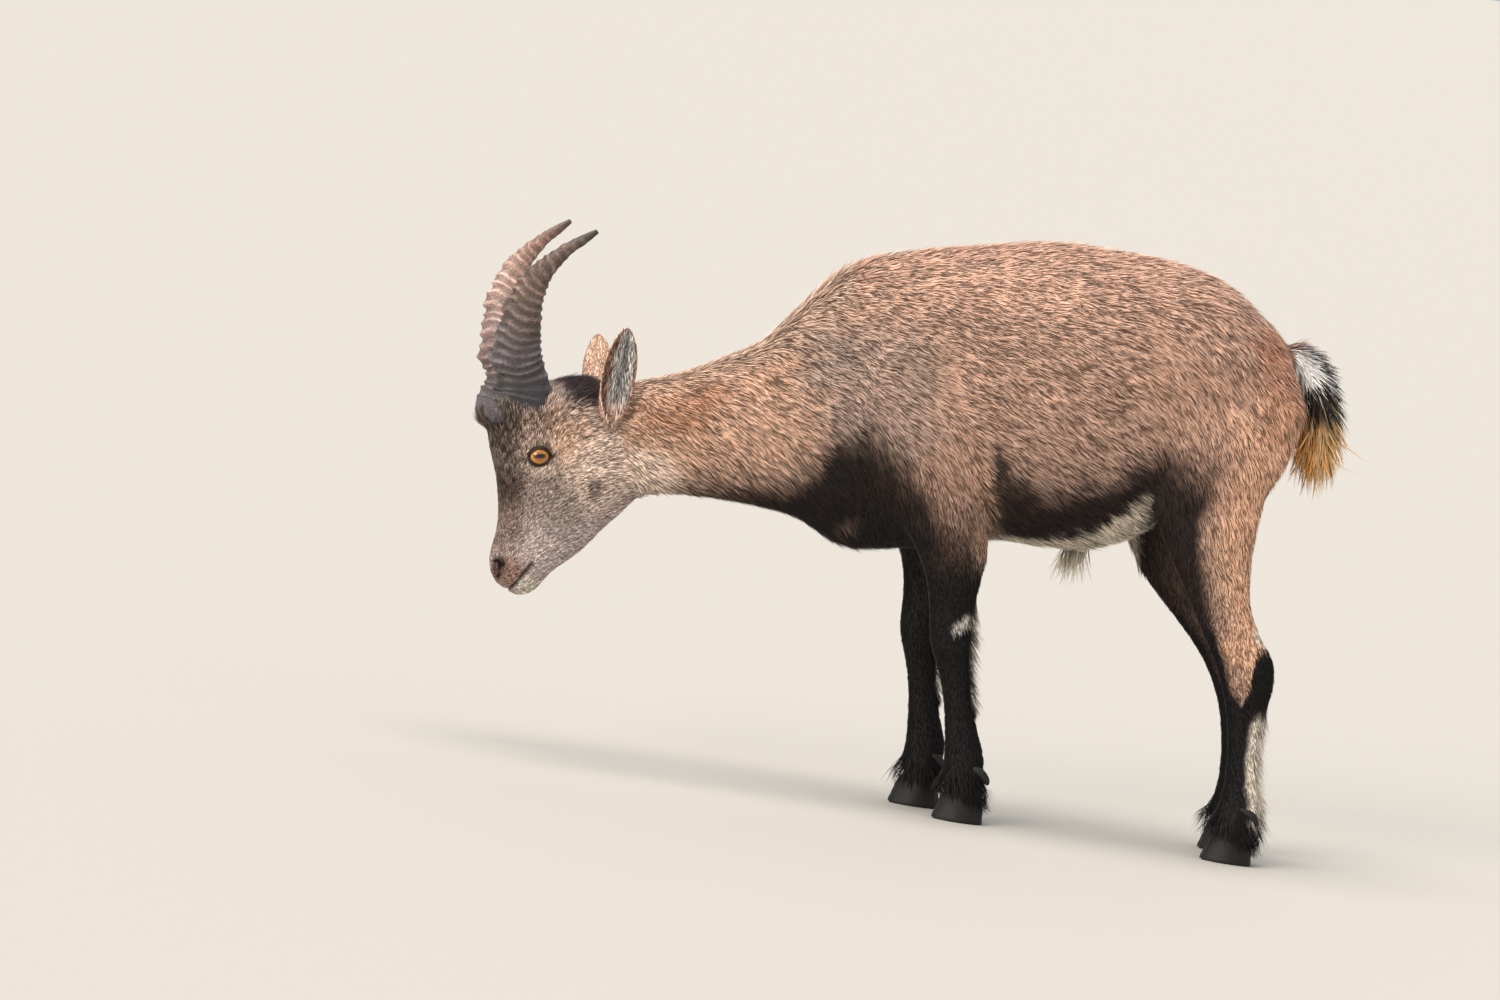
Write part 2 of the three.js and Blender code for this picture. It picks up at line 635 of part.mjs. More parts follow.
const SHEATH = { root: [132, 0, 338], half: [24, 15, 15], locks: 6, length: [32, 46], width: 16 };

function sheathBody() {
  const { root: [u, , v], half, locks, length, width } = SHEATH;
  const draw = draws(5);
  const pieces = [lump(SHEATH.root, half, 0, inBody, 0, 8)];
  for (let k = 0; k < locks; k++) {
    const angle = (TAU * k) / locks;
    const root = [u - 6 + 9 * Math.cos(angle), 7 * Math.sin(angle), v - 4];
    const out = [0.5 * Math.cos(angle) - 0.1, 0.6 * Math.sin(angle), -1];
    const fall = [0.5 * Math.cos(angle) - 0.3, 0.3 * Math.sin(angle), -1];
    pieces.push(lock(root, out, fall, mix(...length, draw()), width));
  }
  return union(pieces);
}

// Feet: two claws, and two dewclaws behind the pastern

// "inner" is the share of a claw's width that lies on the side of its neighbour, "point" how
// much narrower it is in front, and "lean" how far its front wall leans back for each mm up.
const CLAW = {
  length: 66, width: 25, height: 46, split: 1.6, inner: 0.34, point: 0.42, lean: 0.3, bevel: 0.95, around: 9,
};
const CORONET = { height: 36, drop: 0.22 }; // the hair line over the claws, lower behind

const coronetPlane = (foot, side, shift) => ({
  point: [foot.x, foot.y, CORONET.height + shift],
  normal: [side * CORONET.drop, 0, side],
});

// A claw stands on its flat sole, pointed in front and straight towards its neighbour.
function claw(foot, outer) {
  const { length, width, height, split, inner, point, lean, bevel, around } = CLAW;
  const levels = [0, 5, 20, height];
  const rings = levels.map((z) =>
    Array.from({ length: around }, (_, k) => {
      const angle = (TAU * k) / around;
      const front = Math.max(Math.cos(angle), 0);
      const size = z ? 1 : bevel;
      const half = (length * size) / 2 - (lean * z * 2) / 3;
      const side = Math.sin(angle) * (1 - point * front ** 2);
      const share = inner + side * (side < 0 ? inner : 1 - inner);
      const along = (lean * z) / 3 - half * Math.cos(angle);
      return [foot.x + along, foot.y + outer * (split + width * size * share), z];
    }),
  );
  return trimmed(skin(rings), [coronetPlane(foot, -1, -GAP / 2)]);
}

// A dewclaw is a small blunt cone behind the pastern: back, aside, up and radius.
const DEWCLAW = [[10, 14, 76, 6], [26, 15, 69, 8], [40, 16, 50, 3]];
const DEWCLAW_AROUND = 6;

function dewclaw(foot, outer) {
  const rings = DEWCLAW.map(([back, aside, up, radius]) =>
    Array.from({ length: DEWCLAW_AROUND }, (_, k) => {
      const angle = (TAU * k) / DEWCLAW_AROUND;
      const across = radius * Math.cos(angle) * Math.SQRT1_2;
      return [foot.x + back + across, foot.y + outer * (aside + radius * Math.sin(angle)), up + across];
    }),
  );
  return skin(rings);
}

// Where a leg parts from the trunk
const FORE_CUTS = {
  inner: 26,
  planes: [
    [[-132, 600], [-168, 330]],
    [[22, 330], [-40, 600]],
    [[-40, 610], [-132, 596]],
  ],
};
const HIND_CUTS = {
  inner: 22,
  planes: [
    [[205, 620], [215, 345]],
    [[440, 520], [205, 640]],
  ],
};

// Assembly

const root = new THREE.Group();
const put = (name, body, material) => root.add(mesh(name, body, material));

const flesh = (grow) =>
  union(torso(grow), neck(grow), headFlesh(grow), Object.values(LEGS).map((leg) => legFlesh(leg, grow)));
const shell = flesh(GAP);

// The head parts from the neck behind the jaw, and the neck from the torso at the withers.
const [front, trunk] = parted(flesh(0), [sidePlane([-182, 330], [-172, 700])]);
const [head, neckPart] = parted(front, [sidePlane([-440, 390], [-494, 560])]);
put("head", largest(head).subtract(headHoles()), "coat");
put("neck", neckPart, "coat");

for (const [side, sign] of Object.entries(SIDES)) {
  put("eye_" + side, eyeBall(sign, EYE_RADIUS), "eye");
  put("horn_" + side, hornBody(side).subtract(shell), "horn");
  put("ear_" + side, earBody(side).subtract(shell), "coat");
}

// Legs part from the trunk along planes, above the elbow and the stifle.
let torsoPart = trunk;
for (const [name, leg] of Object.entries(LEGS)) {
  const sign = SIDES[leg.side];
  const { inner, planes } = leg.sections === FORELEG ? FORE_CUTS : HIND_CUTS;
  const cuts = [{ point: [0, sign * inner, 0], normal: [0, sign, 0] }];
  for (const [from, to] of planes) cuts.push(sidePlane(from, to));
  const [whole, rest] = parted(torsoPart, cuts);
  torsoPart = rest;
  const place = inLeg(leg);
  const [x, y] = place([footAt(leg), leg.sections.at(-1).y, leg.sole]);
  const foot = { x, y };
  const standing = trimmed(whole, [coronetPlane(foot, 1, GAP / 2)]);
  const joint = place([leg.joint[0], 0, leg.joint[1]]);
  const [upper, lower] = parted(standing, [{ point: joint, normal: [0, 0, 1] }]);
  put(name + "_upper", upper, "coat");
  put(name + "_lower", lower, "darkCoat");
  for (const [which, outer] of Object.entries({ inner: -sign, outer: sign })) {
    put(`${name}_claw_${which}`, claw(foot, outer), "hoof");
    put(`${name}_dewclaw_${which}`, dewclaw(foot, outer).subtract(shell), "hoof");
  }
}
put("torso", torsoPart, "coat");
put("tail", tailBody().subtract(shell), "tailHair");
put("sheath_tuft", sheathBody().subtract(shell), "paleHair");

const middle = new THREE.Box3().setFromObject(root).getCenter(new THREE.Vector3());
root.position.set(-middle.x, -middle.y, 0);

export default root;
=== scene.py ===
# %% [markdown]
# A young alpine ibex stands with his head lowered to graze. This notebook dresses the packed
# CAD model: one seamless skin is grown over its parts, and a coat of small hair tufts is set
# on the skin. Horns, eyes, lids and hooves are pieces of their own, because they are harder
# and shinier than the coat and meet it in a clear line.

import math

import bpy
import numpy as np
from mathutils import Matrix, Vector
from mathutils.bvhtree import BVHTree


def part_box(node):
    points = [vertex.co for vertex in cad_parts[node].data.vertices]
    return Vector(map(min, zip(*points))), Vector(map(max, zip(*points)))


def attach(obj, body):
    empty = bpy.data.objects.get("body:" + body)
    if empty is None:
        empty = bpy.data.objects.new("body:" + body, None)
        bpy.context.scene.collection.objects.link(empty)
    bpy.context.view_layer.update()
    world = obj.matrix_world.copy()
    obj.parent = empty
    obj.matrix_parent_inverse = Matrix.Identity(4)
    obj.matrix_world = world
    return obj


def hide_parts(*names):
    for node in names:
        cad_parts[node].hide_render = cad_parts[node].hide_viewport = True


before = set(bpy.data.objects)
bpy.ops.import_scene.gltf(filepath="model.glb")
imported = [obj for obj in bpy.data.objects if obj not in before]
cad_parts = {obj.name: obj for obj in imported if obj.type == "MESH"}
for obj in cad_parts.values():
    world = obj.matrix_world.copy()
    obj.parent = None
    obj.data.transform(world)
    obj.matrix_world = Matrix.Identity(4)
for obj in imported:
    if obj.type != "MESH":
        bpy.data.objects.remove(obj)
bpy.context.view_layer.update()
scene = bpy.context.scene
MM = 0.001

# %% [markdown]
# Everything on the animal is measured along its own body: u from head to tail, y to its right
# and v up, in millimetres. These axes lean by nine degrees against the level floor, because the
# animal was drawn as it stood on a slope. The head is turned a little to the left on the first
# neck bone. Small functions carry points from these measures to the model's frame and back, so
# that markings can be placed where they sit on a real ibex. The middle of the left eye ties the
# two frames together.

# %% Body and head measures
PITCH = math.radians(9)
BODY_LIFT = 22
HEAD_TURN = math.radians(11)
ATLAS_U = -468
EYE_AT = (-579, 44, 460)
EYE_RADIUS = 15.5
EYE_OPENING = (29, 20)
SIDES = {"left": -1, "right": 1}


def turned(a, b, angle):
    return a * math.cos(angle) - b * math.sin(angle), a * math.sin(angle) + b * math.cos(angle)


def in_body(points, shift=None):
    u, y, v = np.asarray(points, float).reshape(-1, 3).T
    x, z = turned(u, v, PITCH)
    return np.stack([x + (SHIFT if shift is None else shift), y, z + BODY_LIFT], -1) * MM


def head_to_body(points):
    u, y, v = np.asarray(points, float).reshape(-1, 3).T
    away, aside = turned(u - ATLAS_U, y, HEAD_TURN)
    return np.stack([ATLAS_U + away, aside, v], -1)


def in_head(points):
    return in_body(head_to_body(points))


def of_body(points):
    x, y, z = (np.asarray(points, float).reshape(-1, 3) / MM).T
    u, v = turned(x - SHIFT, z - BODY_LIFT, -PITCH)
    return np.stack([u, y, v], -1)


def of_head(points):
    u, y, v = of_body(points).T
    away, aside = turned(u - ATLAS_U, y, -HEAD_TURN)
    return np.stack([ATLAS_U + away, aside, v], -1)


def eye_centre(sign):
    return np.array([EYE_AT[0], sign * EYE_AT[1], EYE_AT[2]])


def points_of(mesh):
    flat = np.empty(len(mesh.vertices) * 3, np.float32)
    mesh.vertices.foreach_get("co", flat)
    return flat.reshape(-1, 3).astype(float)


eye_middle = points_of(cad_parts["eye_left"].data).mean(0)
left_eye = head_to_body([eye_centre(SIDES["left"])])
SHIFT = eye_middle[0] / MM - in_body(left_eye, 0)[0][0] / MM
print("the body's frame is moved along by", round(SHIFT, 2), "mm")

# %% [markdown]
# The photograph was taken from far away with a long lens, nearly square to the flank. Trunk and
# head were tilted by PITCH to stand the animal level, so the camera is rolled by the same angle
# and shows them as the photograph does.

# %% Camera
CAMERA = {"target": (-292.5, 0, 396.5), "azimuth": -4, "elevation": 4, "distance": 12}
LENS = 221.5
FILM_WIDTH = 36

azimuth = math.radians(CAMERA["azimuth"])
elevation = math.radians(CAMERA["elevation"])
away = Vector((
    math.sin(azimuth) * math.cos(elevation),
    -math.cos(azimuth) * math.cos(elevation),
    math.sin(elevation),
))
level = (-away).cross(Vector((0, 0, 1))).normalized()
upright = level.cross(-away)
right = level * math.cos(PITCH) + upright * math.sin(PITCH)
up = upright * math.cos(PITCH) - level * math.sin(PITCH)
target = Vector(in_body([CAMERA["target"]])[0])
camera_data = bpy.data.cameras.new("camera")
camera_data.lens = LENS
camera_data.sensor_width = FILM_WIDTH
camera = bpy.data.objects.new("camera", camera_data)
scene.collection.objects.link(camera)
axes = Matrix((right, up, away)).transposed().to_4x4()
camera.matrix_world = Matrix.Translation(target + away * CAMERA["distance"]) @ axes
scene.camera = camera
print("camera at", [round(c, 3) for c in camera.location])

# %% [markdown]
# Colours are written as the hex values that a paint chart uses, and one function turns them
# into the linear values that light adds up in. Another adds a node of any kind, with its
# settings, the stops of its colour ramp and its links, so that a material reads as a short list.

# %% Colours and nodes


def linear(code):
    channels = np.array([int(code[i : i + 2], 16) for i in (1, 3, 5)]) / 255
    low = channels / 12.92
    high = ((channels + 0.055) / 1.055) ** 2.4
    return np.where(channels <= 0.04045, low, high)


def rgba(code):
    return (*linear(code), 1)


def add(tree, kind, settings=None, stops=(), **inputs):
    """One node. An input is named with _ for a space, or i and its number."""
    node = tree.nodes.new(kind)
    for name, value in (settings or {}).items():
        setattr(node, name, value)
    for element, (place, code) in zip(node.color_ramp.elements if stops else (), stops):
        element.position = place
        element.color = rgba(code)
    for name, value in inputs.items():
        socket = node.inputs[int(name[1:]) if name[1:].isdigit() else name.replace("_", " ")]
        if isinstance(value, bpy.types.NodeSocket):
            tree.links.new(value, socket)
        else:
            socket.default_value = value
    return node


def material(name):
    made = bpy.data.materials.new(name)
    made.use_nodes = True
    made.node_tree.nodes.clear()
    return made, made.node_tree


def finish(tree, shader):
    add(tree, "ShaderNodeOutputMaterial", Surface=shader.outputs["BSDF"])


# %% [markdown]
# A plain pale floor and soft studio lamps. Each lamp has a direction, a strength, a spread in
# degrees and a colour. The wide one overhead stands for the open sky of the photograph, which
# lights the back and leaves the belly and the legs dark.

# %% Floor and light
FLOOR_SIZE = 600
LAMPS = {
    "sky": ((-0.2, -0.12, 1), 3.4, 50, "#fff5ea"),
    "key": ((-0.7, -1.0, 0.5), 2.1, 30, "#fff2e4"),
    "back": ((0.3, 1.0, 0.6), 0.5, 50, "#ffffff"),
}


def mesh_of(name, points, faces):
    mesh = bpy.data.meshes.new(name)
    mesh.from_pydata([tuple(p) for p in points], [], [tuple(f) for f in faces])
    mesh.update()
    return mesh


def piece(name, mesh, *materials):
    made = bpy.data.objects.new(name, mesh)
    for one in materials:
        mesh.materials.append(one)
    scene.collection.objects.link(made)
    return made


studio_floor, tree = material("matt_studio_floor")
finish(tree, add(tree, "ShaderNodeBsdfPrincipled", Base_Color=rgba("#b1afaa"), Roughness=0.9))
half = FLOOR_SIZE / 2
corners = [(-half, -half, 0), (half, -half, 0), (half, half, 0), (-half, half, 0)]
piece("floor", mesh_of("floor", corners, [(0, 1, 2, 3)]), studio_floor)

world = bpy.data.worlds.new("studio")
world.use_nodes = True
for name, value in (("Color", rgba("#dfe2e6")), ("Strength", 0.66)):
    world.node_tree.nodes["Background"].inputs[name].default_value = value
scene.world = world
scene.view_settings.view_transform = "Standard"

for name, (direction, strength, spread, code) in LAMPS.items():
    data = bpy.data.lights.new(name, "SUN")
    data.energy = strength
    data.angle = math.radians(spread)
    data.color = tuple(linear(code))
    lamp = bpy.data.objects.new(name, data)
    lamp.rotation_euler = Vector(direction).to_track_quat("Z", "Y").to_euler()
    scene.collection.objects.link(lamp)
print("studio with floor and three lamps")

# %% [markdown]
# Smooth noise is needed in several places, for the wander of the hair and the soft edges of
# the markings. A few sine waves in seeded directions give it fast and the same every time.
# Soft steps and soft spots make the masks, and a curve through rows of numbers makes the lofts.

# %% Noise and curves
WAVES = 7


def ripple(points, size, seed):
    """Noise of about -2 to 2 whose waves are about the given size long."""
    draw = np.random.default_rng(seed)
    total = np.zeros(len(points))
    for _ in range(WAVES):
        direction = draw.normal(size=3)
        direction *= 2 * math.pi / (size * draw.uniform(0.6, 1.5) * np.linalg.norm(direction))
        total += np.sin(points @ direction + draw.uniform(0, 2 * math.pi))
    return total / math.sqrt(WAVES)


def smooth(value, low, high):
    """A soft step from 0 at low to 1 at high."""
    share = np.clip((value - low) / (high - low), 0, 1)
    return share * share * (3 - 2 * share)


def below(value, low, high):
    """A soft step from 1 at low to 0 at high."""
    return 1 - smooth(value, low, high)


def between(rows, places):
    """A smooth curve through the rows, read at the given places."""
    rows = np.asarray(rows, float)
    i = np.clip(np.floor(places).astype(int), 0, len(rows) - 2)
    f = (places - i)[:, None]
    a, b, c, d = (rows[np.clip(i + k, 0, len(rows) - 1)] for k in (-1, 0, 1, 2))
    out, into, step = (c - a) / 2, (d - b) / 2, c - b
    return b + f * (out + f * (3 * step - 2 * out - into + f * (out + into - 2 * step)))


def spot(u, v, at, reach, tilt=0.0):
    """1 in an ellipse at a place, with its two reaches in millimetres, fading out at its edge."""
    along, across = turned(u - at[0], v - at[1], -math.radians(tilt))
    return below(np.hypot(along / reach[0], across / reach[1]), 0.55, 1.3)


def signed_power(value, power):
    return np.sign(value) * np.abs(value) ** (2 / power)


def unit(vectors):
    return vectors / np.maximum(np.linalg.norm(vectors, axis=-1, keepdims=True), 1e-12)


def skin_over(rings):
    """Points and faces of a closed tube over the rings."""
    rings = np.asarray(rings)
    count, around = rings.shape[:2]
    ends = [rings[0].mean(0), rings[-1].mean(0)]
    points = np.vstack([rings.reshape(-1, 3), ends])
    k = np.arange(around)
    following = (k + 1) % around
    faces = []
    for row in range(count - 1):
        low, high = row * around, (row + 1) * around
        faces += np.stack([low + k, low + following, high + following, high + k], -1).tolist()
    first, last = len(points) - 2, len(points) - 1
    faces += [(first, b, a) for a, b in zip(k.tolist(), following.tolist())]
    top = (count - 1) * around
    faces += [(last, top + a, top + b) for a, b in zip(k.tolist(), following.tolist())]
    return points, faces


# %% [markdown]
# The skin. The CAD parts are separate solids with hairline gaps. Each is welded and swollen by
# half a millimetre, so that they overlap. First come small helpers that weld a part, give its
# normals and make an egg shape.

# %% Helpers for closed parts
LEGS = ["foreleg_left", "foreleg_right", "hindleg_left", "hindleg_right"]


def welded(node):
    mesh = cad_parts[node].data
    mesh.calc_loop_triangles()
    corners = np.empty(len(mesh.loop_triangles) * 3, np.int32)
    mesh.loop_triangles.foreach_get("vertices", corners)
    points = points_of(mesh)
    keys = np.round(points / MM * 1000).astype(np.int64)
    _, kept, inverse = np.unique(keys, axis=0, return_index=True, return_inverse=True)
    triangles = inverse.reshape(-1)[corners].reshape(-1, 3)
    return points[kept], triangles


def normals_of(points, triangles):
    a, b, c = (points[triangles[:, k]] for k in range(3))
    face = np.cross(b - a, c - a)
    total = np.zeros_like(points)
    for k in range(3):
        for axis in range(3):
            total[:, axis] += np.bincount(triangles[:, k], face[:, axis], len(points))
    return unit(total)


def ellipsoid(place, halves, around=24, rings=14):
    polar = np.linspace(0.02, math.pi - 0.02, rings)[:, None]
    turn = np.linspace(0, 2 * math.pi, around, endpoint=False)[None, :]
    x, y = np.sin(polar) * np.cos(turn), np.sin(polar) * np.sin(turn)
    shape = np.stack([x, y, np.cos(polar) * np.ones_like(turn)], -1)
    return np.asarray(place) + shape * np.asarray(halves)


def triangles_of(faces):
    return np.array([(f[0], f[k], f[k + 1]) for f in faces for k in range(1, len(f) - 1)])


# %% [markdown]
# The bone of the tail and the swelling of the sheath are made here, because the solids there
# are the whole brush of hair. A low collar under each horn and a filled eye socket join the
# head, so that the horn rises from the skin and the eye sits in flesh.

# %% Parts of the skin
PARTS = ["torso", "neck", "head", *LEGS, "dock", "sheath"]
SWELL = 0.5
VOXEL = 3.0
DOCK = [
    (376, 622, 384, 566, 22),
    (404, 607, 404, 566, 22),
    (430, 598, 418, 556, 20),
    (452, 578, 424, 540, 20),
    (462, 546, 428, 518, 19),
    (464, 512, 430, 494, 18),
    (460, 480, 434, 470, 15),
    (452, 458, 442, 452, 7),
]
DOCK_SHARE = 0.62
SHEATH = {"at": (132, 0, 338), "half": (24, 15, 15)}
HORN_COLLAR = {"at": (-591, 28, 511), "half": (53, 29, 26), "tilt": 22}
SOCKET_ROOM = 2.2
DOCK_AROUND = 20
DOCK_ROWS = 30


def dock_rings():
    """Rings of the tail's bone. A row holds u and v of the brush's top and of its underside."""
    turn = np.linspace(0, 2 * math.pi, DOCK_AROUND, endpoint=False)
    rings = []
    for top_u, top_v, low_u, low_v, wide in between(DOCK, np.linspace(0, len(DOCK) - 1, DOCK_ROWS)):
        lift = 0.5 + 0.5 * DOCK_SHARE * np.sin(turn)
        aside = wide * DOCK_SHARE * np.cos(turn)
        ring = [low_u + (top_u - low_u) * lift, aside, low_v + (top_v - low_v) * lift]
        rings.append(in_body(np.stack(ring, -1)))
    return rings


def closed(rings):
    points, faces = skin_over(rings)
    return points, triangles_of(faces)


sources = [(part, *welded(part)) for part in ("torso", "neck", "head")]
sources += [(leg, *welded(f"{leg}_{stretch}")) for leg in LEGS for stretch in ("upper", "lower")]
sources.append(("dock", *closed(dock_rings())))
sources.append(("sheath", *closed([in_body(ring) for ring in ellipsoid(SHEATH["at"], SHEATH["half"])])))
for sign in SIDES.values():
    collar = ellipsoid((0, 0, 0), HORN_COLLAR["half"])
    away, above = turned(collar[..., 0], collar[..., 2], -math.radians(HORN_COLLAR["tilt"]))
    collar = np.stack([away, collar[..., 1], above], -1) + np.array(HORN_COLLAR["at"]) * (1, sign, 1)
    socket = ellipsoid(eye_centre(sign), (EYE_RADIUS + SOCKET_ROOM,) * 3)
    for rings in (collar, socket):
        sources.append(("head", *closed([in_head(ring) for ring in rings])))

all_points, all_triangles, all_labels = [], [], []
start = 0
for part, points, triangles in sources:
    all_points.append(points + normals_of(points, triangles) * SWELL * MM)
    all_triangles.append(triangles + start)
    all_labels.append(np.full(len(triangles), PARTS.index(part)))
    start += len(points)
all_points, all_triangles = np.vstack(all_points), np.vstack(all_triangles)
all_labels = np.concatenate(all_labels)
print("flesh", len(all_points), "points in", len(sources), "closed parts")

# %% [markdown]
# A voxel remesh makes one closed surface of all these parts, a fine grid of quads.

# %% Voxel remesh
raw = piece("raw_flesh", mesh_of("raw_flesh", all_points, all_triangles))
remesh = raw.modifiers.new("remesh", "REMESH")
remesh.mode = "VOXEL"
remesh.voxel_size = VOXEL * MM
fused = bpy.data.meshes.new_from_object(raw.evaluated_get(bpy.context.evaluated_depsgraph_get()))
bpy.data.objects.remove(raw)
skin_points = points_of(fused)
quads = np.empty(len(fused.loops), np.int32)
fused.loops.foreach_get("vertex_index", quads)
quads = quads.reshape(-1, 4)
print("skin", len(skin_points), "points", len(quads), "quads")

# %% [markdown]
# Every point of the skin takes the name of the part under it, from the nearest CAD face. The
# facets of the CAD are then melted by moving each point towards the middle of its neighbours,
# many small steps on the broad trunk and only a few on the legs and the face.

# %% Part labels and smoothing
SMOOTH_STEPS = 150
EASE = {"torso": 0.5, "neck": 0.45, "head": 0.045, "dock": 0.2, "sheath": 0.2}
LEG_EASE = 0.1
BLEND_STEPS = {"ease": 12, "share": 40, "depth": 60}

tree_of_parts = BVHTree.FromPolygons(all_points.tolist(), all_triangles.tolist())
labels = np.array([all_labels[tree_of_parts.find_nearest(Vector(p))[2]] for p in skin_points])
edges = np.vstack([quads[:, [k, (k + 1) % 4]] for k in range(4)])
near, far = edges.T
degree = np.bincount(near, minlength=len(skin_points)).astype(float)


def neighbours_mean(values):
    columns = values.reshape(len(values), -1).T
    sums = [np.bincount(near, column[far], len(values)) for column in columns]
    return (np.array(sums) / degree).T.reshape(values.shape)


def melted(values, steps, share):
    for _ in range(steps):
        values = values + (neighbours_mean(values) - values) * share
    return values


ease = np.array([EASE.get(part, LEG_EASE) for part in PARTS])[labels]
ease = melted(ease, BLEND_STEPS["ease"], 0.5)
skin_points = melted(skin_points, SMOOTH_STEPS, ease[:, None])
part_share = {
    part: melted((labels == i).astype(float), BLEND_STEPS["share"], 0.5) for i, part in enumerate(PARTS)
}
print("labels", {part: int((labels == i).sum()) for i, part in enumerate(PARTS)})

# %% [markdown]
# The outer surface of the solids is the outer surface of the coat. The skin therefore lies
# inside it by the depth of the hair: most on the trunk and along the neck, least on the face.

# %% Depth of the coat
COAT_DEPTH = {"torso": 6.0, "neck": 6.5, "head": 2.2, "dock": 1.0, "sheath": 3.0}
LEG_DEPTH = 3.2

skin_triangles = np.vstack([quads[:, [0, 1, 2]], quads[:, [0, 2, 3]]])
depth = np.array([COAT_DEPTH.get(part, LEG_DEPTH) for part in PARTS])[labels]
depth = melted(depth, BLEND_STEPS["depth"], 0.5) + SWELL
skin_points = skin_points - normals_of(skin_points, skin_triangles) * depth[:, None] * MM
head_at = of_head(skin_points)
print("coat depth", depth.min().round(1), "to", depth.max().round(1), "mm")

# %% [markdown]
# The face gets its openings. A groove parts the lips, a dent makes each nostril, and the skin
# inside the almond between the lids is sunk behind the eyeball, which then shows.

# %% Face
MOUTH_LINE = [(-628, 264), (-616, 281), (-606, 293), (-596, 305), (-584, 318)]
MOUTH_DEPTH = 4.0
MOUTH_REACH = 2.6
NOSTRIL = {"at": (-628, 312), "reach": (9, 17), "tilt": -16}
NOSTRIL_DEPTH = 7.0
SUNK = {"reach": 8, "depth": 3.0}


def eye_axes(sign):
    gaze = unit(np.array([-0.2, 0.98 * sign, 0]))
    along = np.array([1, 0, 0.04])
    along = unit(along - gaze * along @ gaze)
    return along, np.cross(along, gaze) * sign, gaze


def eye_local(points, sign):
    return (points - eye_centre(sign)) @ np.array(eye_axes(sign)).T


def distance_to_line(u, v, line):
    best = np.full(len(u), 1e9)
    for (u1, v1), (u2, v2) in zip(line, line[1:]):
        du, dv = u2 - u1, v2 - v1
        share = np.clip(((u - u1) * du + (v - v1) * dv) / (du * du + dv * dv), 0, 1)
        best = np.minimum(best, np.hypot(u - u1 - share * du, v - v1 - share * dv))
    return best


def almond(points, grow=0.0):
    """1 inside the lids of either eye, 0 outside."""
    inside = np.zeros(len(points))
    for sign in SIDES.values():
        along, across, out = eye_local(points, sign).T
        long_half, high_half = EYE_OPENING[0] / 2 + grow, EYE_OPENING[1] / 2 + grow
        edge = high_half * np.clip(1 - (along / long_half) ** 2, 0, 1)
        reach = np.where(np.abs(along) < long_half, edge, 0)
        inside = np.maximum(inside, (np.abs(across) < reach) & (out > 0))
    return inside


normals = normals_of(skin_points, skin_triangles)
mouth = np.exp(-((distance_to_line(head_at[:, 0], head_at[:, 2], MOUTH_LINE) / MOUTH_REACH) ** 2))
mouth *= part_share["head"]
nostril = spot(head_at[:, 0], head_at[:, 2], **NOSTRIL)
nostril *= part_share["head"] * smooth(np.abs(head_at[:, 1]), 3, 7)
dent = mouth * MOUTH_DEPTH + nostril * NOSTRIL_DEPTH
skin_points = skin_points - normals * dent[:, None] * MM
for sign in SIDES.values():
    local = head_at - eye_centre(sign)
    sunk = (almond(head_at, 0.5) > 0) & (np.linalg.norm(local, axis=1) < EYE_RADIUS + SUNK["reach"])
    pulled = eye_centre(sign) + unit(local) * (EYE_RADIUS - SUNK["depth"])
    skin_points[sunk] = in_head(pulled[sunk])
print("mouth groove over", int((mouth > 0.4).sum()), "points")

# %% [markdown]
# The ears are thin leaf-shaped cups, too thin for the voxels, so they are lofted on their own
# from curved strips, almost a tube at the root, and joined to the skin's mesh. A strip holds
# its place along the ear, its two half widths and the angle by which it wraps round.

# %% Ears
EAR = {
    "root": (-484, 38, 500),
    "tips": {"left": (-469, 76, 624), "right": (-470, 82, 607)},
    "facing": (-0.1, 1, 0),
    "thick": 2.2,
}
EAR_STRIPS = [
    (-0.06, 9, 9, 172),
    (0.03, 13.5, 13.5, 158),
    (0.12, 17, 15, 130),
    (0.24, 20.5, 15, 106),
    (0.41, 22.5, 14, 90),
    (0.58, 22.5, 12.5, 84),
    (0.73, 20, 10, 80),
    (0.86, 15, 7.5, 78),
    (0.95, 9, 5.5, 76),
    (1, 4, 4, 74),
]
EAR_ALONG = 46
EAR_ACROSS = 18
EAR_INSET = 0.6


def ear_rings(side):
    sign = SIDES[side]
    flip = np.array([1, sign, 1])
    root, tip = np.array(EAR["root"]) * flip, np.array(EAR["tips"][side]) * flip
    along = unit(tip - root)
    facing = np.array(EAR["facing"]) * flip
    facing = unit(facing - along * (facing @ along))
    aside = np.cross(along, facing)
    rings = []
    strips = between(EAR_STRIPS, np.linspace(0, len(EAR_STRIPS) - 1, EAR_ALONG))
    for share, wide, deep, half_angle in strips:
        angle = np.radians(np.linspace(-half_angle, half_angle, EAR_ACROSS))[:, None]
        thick = min(EAR["thick"], deep * 0.4)
        centre = root + (tip - root) * share
        outer = centre + aside * (wide - EAR_INSET) * np.sin(angle)
        outer = outer - facing * (deep - EAR_INSET) * np.cos(angle)
        inner = centre + aside * (wide - EAR_INSET - thick) * np.sin(angle)
        inner = inner - facing * (deep - EAR_INSET - thick) * np.cos(angle)
        rings.append(in_head(np.vstack([outer, inner[::-1]])))
    return rings


